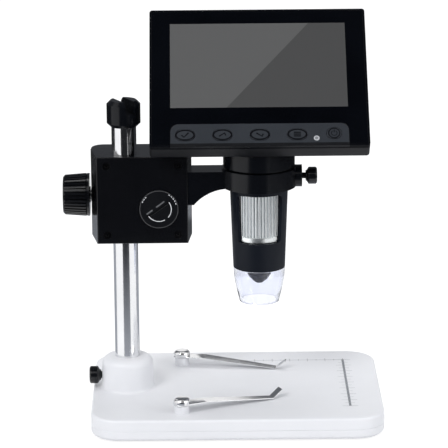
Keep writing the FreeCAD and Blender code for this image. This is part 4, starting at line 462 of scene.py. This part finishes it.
def ruler_tree(paint):
    """A row of thin ticks along X, centred on the line and spread by one pitch."""
    tree = Tree("ruler_ticks", {"count": "NodeSocketInt", "pitch": "NodeSocketFloat",
                                "tick": "NodeSocketVector"})
    step = tree.add("ShaderNodeCombineXYZ", {"X": tree.size("pitch")})
    row = tree.add("MeshLine", {"Count": tree.size("count"), "Offset": step.outputs[0]})
    bar = tree.add("MeshCube", {"Size": tree.size("tick")})
    ticks = tree.add("InstanceOnPoints", {"Points": row.outputs[0], "Instance": bar.outputs[0]})
    tree.close(ticks.outputs[0], paint)
    return tree


def rib_tree(paint):
    """Round ribs standing in a ring about Z."""
    tree = Tree("rib_ring", {"count": "NodeSocketInt", "ring radius": "NodeSocketFloat",
                             "rib radius": "NodeSocketFloat", "length": "NodeSocketFloat",
                             "height": "NodeSocketFloat"})
    ring = tree.add("MeshCircle", {"Vertices": tree.size("count"),
                                   "Radius": tree.size("ring radius")})
    rib = tree.add("MeshCylinder", {"Vertices": RIB_SIDES, "Radius": tree.size("rib radius"),
                                    "Depth": tree.size("length")})
    ribs = tree.add("InstanceOnPoints", {"Points": ring.outputs[0],
                                         "Instance": rib.outputs[0]})
    lift = tree.add("ShaderNodeCombineXYZ", {"Z": tree.size("height")})
    placed = tree.add("SetPosition", {"Geometry": ribs.outputs[0], "Offset": lift.outputs[0]})
    tree.close(placed.outputs[0], paint)
    return tree


# Base, post and clips

dress("base_top_cover", WHITE_SHELL, 0.25)
dress("base_bottom_cover", WHITE_SHELL, 0.15)
dress("rubber_feet", FOOT_RUBBER, 0.3)
dress("base_screws", SCREW_STEEL, 0.15)
dress("base_thumbscrew_head", BLACK_KNOB, 0.2)
dress("base_thumbscrew_stud", BLACK_STEEL)
dress("post_tube", POST_STEEL, 0.15)
dress("post_cap", BLACK_SATIN, 0.25)
for clip in ("rear_clip", "front_clip"):
    dress(clip + "_strip", CLIP_CHROME, 0.12)
    dress(clip + "_stud", CLIP_CHROME, 0.1)
paint_node("base_ballast_plate", SHEET_STEEL)
paint_node("base_insert", BRASS)


def stage_ruler():
    """Two ruled lines that meet at the stage's far right corner."""
    corner = Matrix.Translation((68.5 * MM, 42.24 * MM, STAGE_Z))
    leftwards = corner @ Matrix.Rotation(math.radians(180), 4, "Z")
    forwards = corner @ Matrix.Rotation(math.radians(-90), 4, "Z")
    coarse, fine = 10 * MM, 5 * MM
    long_line, deep_line = 73 * MM, 80 * MM
    tree = ruler_tree(RULER_PRINT)

    def ticks(count, pitch, length):
        return tree.grow(count=count, pitch=pitch, tick=(0.28 * MM, length, PRINT_RISE * 2))

    along = [stroke([(0, 0), (long_line, 0)], 0.5 * MM),
             ticks(8, coarse, 4.6 * MM), ticks(15, fine, 2.4 * MM)]
    printed("ruler_long_line", along, leftwards, "base", RULER_PRINT, "white_plastic")
    deep = [ticks(9, coarse, 8.6 * MM), ticks(17, fine, 5.4 * MM)]
    printed("ruler_deep_ticks", deep, forwards, "base", RULER_PRINT, "white_plastic")
    printed("ruler_deep_line", [stroke([(0, 0), (deep_line, 0)], 1.3 * MM)], forwards, "base",
            RULER_BOLD, "white_plastic")


stage_ruler()

# Carriage, knob, dial and arm

dress("carriage_front_shell", BLACK_CASE, 0.4)
dress("carriage_rear_shell", BLACK_CASE, 0.3)
dress("case_screws", BLACK_STEEL, 0.1)
dress("guide_bushes", BLACK_CASE, 0.1)
dress("shaft_bushes", BLACK_STEEL, 0.1)
dress("holder_arm", BLACK_SATIN, 0.35)
dress("ring_thumbscrew_head", BLACK_KNOB, 0.2)
dress("ring_thumbscrew_stud", BLACK_STEEL)
dress("focus_knob", BLACK_KNOB, 0.12)
dress("focus_shaft", SCREW_STEEL)
dress("lock_dial", DIAL_BLACK, 0.1)
for node, paint in (("arm_screws", SCREW_STEEL), ("ring_insert", BRASS),
                    ("friction_roller", FOOT_RUBBER), ("shaft_clip", SHEET_STEEL),
                    ("lock_cam", ACETAL), ("brake_shoe", FOOT_RUBBER)):
    paint_node(node, paint)


def dial_marks():
    """A thin rim painted as a pale highlight, two printed inner arcs, short outer dashes and two bars
    along a chord.
    """
    line, bar, hair = 0.42 * MM, 0.8 * MM, 0.2 * MM
    inner, outer, rim = 6.7 * MM, 9.7 * MM, 10.3 * MM
    arcs = [stroke(arc(inner, -42, 36), line), stroke(arc(inner, 214, 298), line)]
    dashes = [stroke(arc(outer, start, start + 5, 3), line)
              for start in (16, 25, 34, 43, 52, 134, 143, 152)]
    printed("dial_arcs", arcs + dashes, DIAL, "lock", DIAL_PRINT, "dial_plastic")
    chord = [((-6.6 + 10.4 * k) * MM, (-2.7 + 7.8 * k) * MM) for k in (0, 0.3, 0.5, 0.92)]
    printed("dial_chord", [stroke(chord[:2], bar), stroke(chord[2:], bar)], DIAL, "lock",
            CHORD_PRINT, "dial_plastic")
    # The rim ring is a painted highlight: a pale line where light catches the dial's edge.
    printed("dial_rim", [stroke(arc(rim, 0, 360, 72)[:-1], hair, True)], DIAL, "lock",
            DIAL_RIM_HIGHLIGHT, "dial_plastic")


dial_marks()

# Screen head

dress("screen_front_frame", FRAME_BLACK, 0.3)
dress("screen_glass", FRONT_GLASS, 0.12)
dress("keypad_strip", KEYPAD_GREY, 0.1)
dress("head_rear_shell", SHELL_BLACK, 0.3)
dress("shell_screws", BLACK_STEEL, 0.1)
dress("usb_port", SCREW_STEEL, 0.05)
dress("card_slot", SCREW_STEEL, 0.05)
dress("dimmer_wheel", DIAL_BLACK, 0.1)
dress("neck_collar", BLACK_SATIN, 0.3)
paint_node("status_led", LAMP_GREY)
for node, paint in (("lcd_panel", BLACK_STEEL), ("main_board", BOARD_GREEN),
                    ("key_switches", GROOVE_BLACK), ("battery", SHEET_STEEL)):
    paint_node(node, paint)

KEY_TOP = 0.25 * MM
LAMP_TOP = 0.2 * MM
KEY_UP = -36.6 * MM
KEYS = {"ok": -39.7 * MM, "up": -19.8 * MM, "down": 0.1 * MM, "menu": 20.0 * MM}
POWER_AT = (39.6 * MM, -36.1 * MM)
LAMP_AT = (30.2 * MM, -39.1 * MM)


def key_symbols(name, x, y):
    """A simple sign for each key: a tick, two chevrons and three bars."""
    reach = 1.9 * MM
    signs = {
        "ok": [[(x - reach, y), (x - reach * 0.3, y - reach * 0.7), (x + reach, y + reach * 0.8)]],
        "up": [[(x - reach, y - reach * 0.5), (x + reach * 0.6, y + reach * 0.6),
                (x + reach * 0.9, y - reach * 0.2)]],
        "down": [[(x - reach, y + reach * 0.5), (x + reach * 0.6, y - reach * 0.6),
                  (x + reach * 0.9, y + reach * 0.2)]],
        "menu": [[(x - reach, y + k * reach * 0.6), (x + reach, y + k * reach * 0.6)]
                 for k in (-1, 0, 1)],
    }
    return signs[name]


def dress_keys():
    """Keys with an outline and a sign each, and the lamp's ring."""
    on_key = FACE @ Matrix.Translation((0, 0, KEY_TOP))
    oval, squash, bold = 4.8 * MM, 0.62, 0.85 * MM
    for name, x in KEYS.items():
        dress(name + "_button", KEY_GREY, 0.08)
        rim = [stroke(arc(oval, 0, 360, 48, (x, KEY_UP), squash)[:-1], bold, True)]
        signs = [stroke(points, 0.8 * MM) for points in key_symbols(name, x, KEY_UP)]
        printed(name + "_key_marks", rim + signs, on_key, name + "_key", KEY_PRINT, "key_plastic")
    dress("power_button", KEY_GREY, 0.08)
    x, y = POWER_AT
    signs = [stroke(arc(2.95 * MM, 0, 360, 36, POWER_AT)[:-1], 0.7 * MM, True),
             stroke(arc(1.5 * MM, 120, 420, 24, POWER_AT), 0.5 * MM),
             stroke([(x, y + 0.4 * MM), (x, y + 2.2 * MM)], 0.55 * MM)]
    printed("power_key_marks", signs, on_key, "power_key", KEY_PRINT, "key_plastic")
    printed("lamp_ring", [stroke(arc(1.2 * MM, 0, 360, 32, LAMP_AT)[:-1], 0.55 * MM, True)],
            FACE @ Matrix.Translation((0, 0, LAMP_TOP)), "head", RULER_PRINT, "lamp_plastic")


dress_keys()

# Barrel, focus wheel and clear nose

dress("barrel_housing", BARREL_BLACK, 0.25)
dress("clear_shroud", CLEAR, 0.15)
dress("nose_cone", CONE_BLACK, 0.15)
dress("light_board", BOARD_WHITE, 0.05)
dress("light_leds", LAMP_WHITE, 0.2)
for node, paint in (("sensor_board", BOARD_GREEN), ("lens_carrier", CONE_BLACK),
                    ("lens_elements", LENS)):
    paint_node(node, paint)


def ribbed_wheel():
    """A plain band at the foot of a drum painted darker as shade between the ribs, with round ribs all
    round above it.
    """
    low, high, band = 97.3 * MM, 123.75 * MM, 3.2 * MM
    bore, drum, rim = 10.6 * MM, 12.7 * MM, 13.15 * MM
    soft, rib_sunk, rib_radius = 0.35 * MM, 0.2 * MM, 0.66 * MM
    on_axis = Matrix.Translation((BARREL_X, 0, 0))
    body, slot = BODY_OF["focus_wheel"], SLOT_OF["focus_wheel"]
    foot = lathe([(bore, low), (rim - soft, low), (rim, low + soft), (rim, low + band - soft),
                  (rim - soft, low + band), (bore, low + band)])
    ribs = rib_tree(WHEEL_METAL).grow(**{
        "count": 44, "ring radius": drum - rib_sunk, "rib radius": rib_radius,
        "length": high - low - band, "height": (high + low + band) / 2})
    wheel = printed("focus_wheel_shown", [foot, ribs], on_axis, body, WHEEL_METAL, slot)
    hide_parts("focus_wheel")
    # The drum under the ribs carries painted shade, so the gaps between the ribs show dark.
    core = lathe([(bore, low + band), (drum, low + band), (drum, high), (bore, high)])
    printed("focus_wheel_drum", [core], on_axis, body, WHEEL_GROOVE_SHADE, slot)


ribbed_wheel()

# Floor, light and camera

LIGHT_AIM = Vector((0, 0, 0.1))
CARD_TINT = (0.93, 0.98, 1.08, 1)
CARD_LIFT = 0.4 * MM
SECTOR_STEPS = 12
VIEW_AT = (-13.01 * MM, -1418.80 * MM, 492.9 * MM)
VIEW_AXES = (Vector((0.99991, -0.01188, -0.00679)), Vector((0.00968, 0.26350, 0.96461)),
             Vector((-0.00967, -0.96459, 0.26359)))
VIEW_LENS = 216.96


def joined_rays(tree):
    """One where a ray comes from the camera, a reflection or clear plastic, else zero."""
    rays = tree.nodes.new("ShaderNodeLightPath")
    total = rays.outputs["Is Camera Ray"]
    for kind in ("Is Glossy Ray", "Is Transmission Ray"):
        either = tree.nodes.new("ShaderNodeMath")
        either.operation = "MAXIMUM"
        tree.links.new(total, either.inputs[0])
        tree.links.new(rays.outputs[kind], either.inputs[1])
        total = either.outputs[0]
    return total


def studio():
    """A pale floor that looks white to the camera and still takes a soft shadow."""
    below_feet = -0.05 * MM
    bpy.ops.mesh.primitive_plane_add(size=12, location=(0, 0, below_feet))
    floor = bpy.context.object
    floor.name = "studio_floor"
    material = bpy.data.materials.new("pale_floor")
    material.use_nodes = True
    tree = material.node_tree
    tree.nodes.clear()
    add = tree.nodes.new
    output, mix, total = add("ShaderNodeOutputMaterial"), add("ShaderNodeMixShader"), add(
        "ShaderNodeAddShader")
    matt, seen, glow = add("ShaderNodeBsdfDiffuse"), add("ShaderNodeBsdfDiffuse"), add(
        "ShaderNodeEmission")
    matt.inputs["Color"].default_value = (0.86, 0.86, 0.865, 1)
    seen.inputs["Color"].default_value = (0.26, 0.26, 0.26, 1)
    glow.inputs["Strength"].default_value = 0.86
    tree.links.new(seen.outputs[0], total.inputs[0])
    tree.links.new(glow.outputs[0], total.inputs[1])
    tree.links.new(joined_rays(tree), mix.inputs[0])
    tree.links.new(matt.outputs[0], mix.inputs[1])
    tree.links.new(total.outputs[0], mix.inputs[2])
    tree.links.new(mix.outputs[0], output.inputs["Surface"])
    floor.data.materials.append(material)


def world():
    """White to the camera and to reflections, softer as a light."""
    background = bpy.data.worlds.new("studio_world")
    bpy.context.scene.world = background
    background.use_nodes = True
    tree = background.node_tree
    tree.nodes.clear()
    add = tree.nodes.new
    output, mix = add("ShaderNodeOutputWorld"), add("ShaderNodeMixShader")
    soft, plain = add("ShaderNodeBackground"), add("ShaderNodeBackground")
    soft.inputs["Color"].default_value = (0.93, 0.96, 1.0, 1)
    soft.inputs["Strength"].default_value = 0.52
    plain.inputs["Color"].default_value = (1, 1, 1, 1)
    plain.inputs["Strength"].default_value = 1.0
    tree.links.new(joined_rays(tree), mix.inputs[0])
    tree.links.new(soft.outputs[0], mix.inputs[1])
    tree.links.new(plain.outputs[0], mix.inputs[2])
    tree.links.new(mix.outputs[0], output.inputs["Surface"])


def soft_light(name, at, size, power):
    """A square soft light that looks at the middle of the object."""
    light = bpy.data.lights.new(name, "AREA")
    light.size = size
    light.energy = power
    holder = bpy.data.objects.new(name, light)
    bpy.context.scene.collection.objects.link(holder)
    holder.location = at
    holder.rotation_euler = (LIGHT_AIM - Vector(at)).to_track_quat("-Z", "Y").to_euler()


def card(name, corners, near_grey, far_grey=None, near_y=0.0, far_y=-1.0):
    """A board that only reflections see; it gives polished metal its darker bands."""
    mesh = bpy.data.meshes.new(name)
    mesh.from_pydata(corners, [], [range(len(corners))])
    board = bpy.data.objects.new(name, mesh)
    bpy.context.scene.collection.objects.link(board)
    material = bpy.data.materials.new(name)
    material.use_nodes = True
    tree = material.node_tree
    tree.nodes.clear()
    add = tree.nodes.new
    output, glow = add("ShaderNodeOutputMaterial"), add("ShaderNodeEmission")
    place, split, fade = add("ShaderNodeTexCoord"), add("ShaderNodeSeparateXYZ"), add(
        "ShaderNodeMapRange")
    for socket, number in (("From Min", near_y), ("From Max", far_y), ("To Min", near_grey),
                           ("To Max", near_grey if far_grey is None else far_grey)):
        fade.inputs[socket].default_value = number
    tree.links.new(place.outputs["Object"], split.inputs["Vector"])
    tree.links.new(split.outputs["Y"], fade.inputs["Value"])
    glow.inputs["Color"].default_value = CARD_TINT
    tree.links.new(fade.outputs["Result"], glow.inputs["Strength"])
    tree.links.new(glow.outputs[0], output.inputs["Surface"])
    mesh.materials.append(material)
    for kind in ("camera", "diffuse", "transmission", "shadow", "volume_scatter"):
        setattr(board, "visible_" + kind, False)


def sector(start, end, near, far):
    """Corners of a flat ring sector on the floor round the post, in degrees from straight ahead."""
    angles = [math.radians(start + (end - start) * i / SECTOR_STEPS)
              for i in range(SECTOR_STEPS + 1)]
    ring = [(POST_X + far * math.sin(a), -far * math.cos(a), CARD_LIFT) for a in angles]
    back = [(POST_X + near * math.sin(a), -near * math.cos(a), CARD_LIFT) for a in angles]
    return ring + back[::-1]


def upright(left, right, y, low, high):
    """Corners of a wall that faces the camera."""
    return [(left, y, low), (right, y, low), (right, y, high), (left, y, high)]


def cards():
    """What the post, the wheel and the black pieces mirror: grey boards round the object."""
    far, dark, mid = 1.9, 0.03, 0.42
    card("front_floor_card", sector(-28, 34, 0.075, far), mid, 0.02, -0.09, -0.34)
    card("far_right_card", sector(36, 170, 0.47, far), dark)
    card("far_left_card", sector(-166, -90, 0.47, far), dark)
    card("rear_floor_card", sector(104, 256, 0.10, 0.46), mid)
    card("back_card", upright(-0.8, 0.8, 0.26, 0.118, 1.1), 0.15)
    card("front_wall_card", upright(-0.85, 1.0, -1.7, 0.0, 1.3), dark)
    card("clip_card", upright(-0.012, 0.09, 0.16, 0.025, 0.064), 0.13)
    card("overhead_card", [(-0.6, -0.9, 1.5), (0.6, -0.9, 1.5), (0.6, 0.0, 1.5),
                           (-0.6, 0.0, 1.5)], 0.01)


def camera():
    """The photograph's view; the axes are the camera's right, up and back."""
    view = bpy.data.cameras.new("camera")
    view.sensor_width = 36
    view.lens = VIEW_LENS
    view.clip_start = 0.05
    view.clip_end = 50
    holder = bpy.data.objects.new("camera", view)
    bpy.context.scene.collection.objects.link(holder)
    turn = Matrix(VIEW_AXES).transposed().to_4x4()
    holder.matrix_world = Matrix.Translation(VIEW_AT) @ turn
    bpy.context.scene.camera = holder


studio()
world()
soft_light("key_light", (-0.75, -1.0, 1.1), 0.7, 12.6)
soft_light("fill_light", (1.1, -0.7, 0.7), 0.8, 5.4)
soft_light("top_light", (0.1, 0.5, 1.3), 0.9, 6.3)
cards()
camera()

bpy.context.scene.view_settings.view_transform = "Standard"
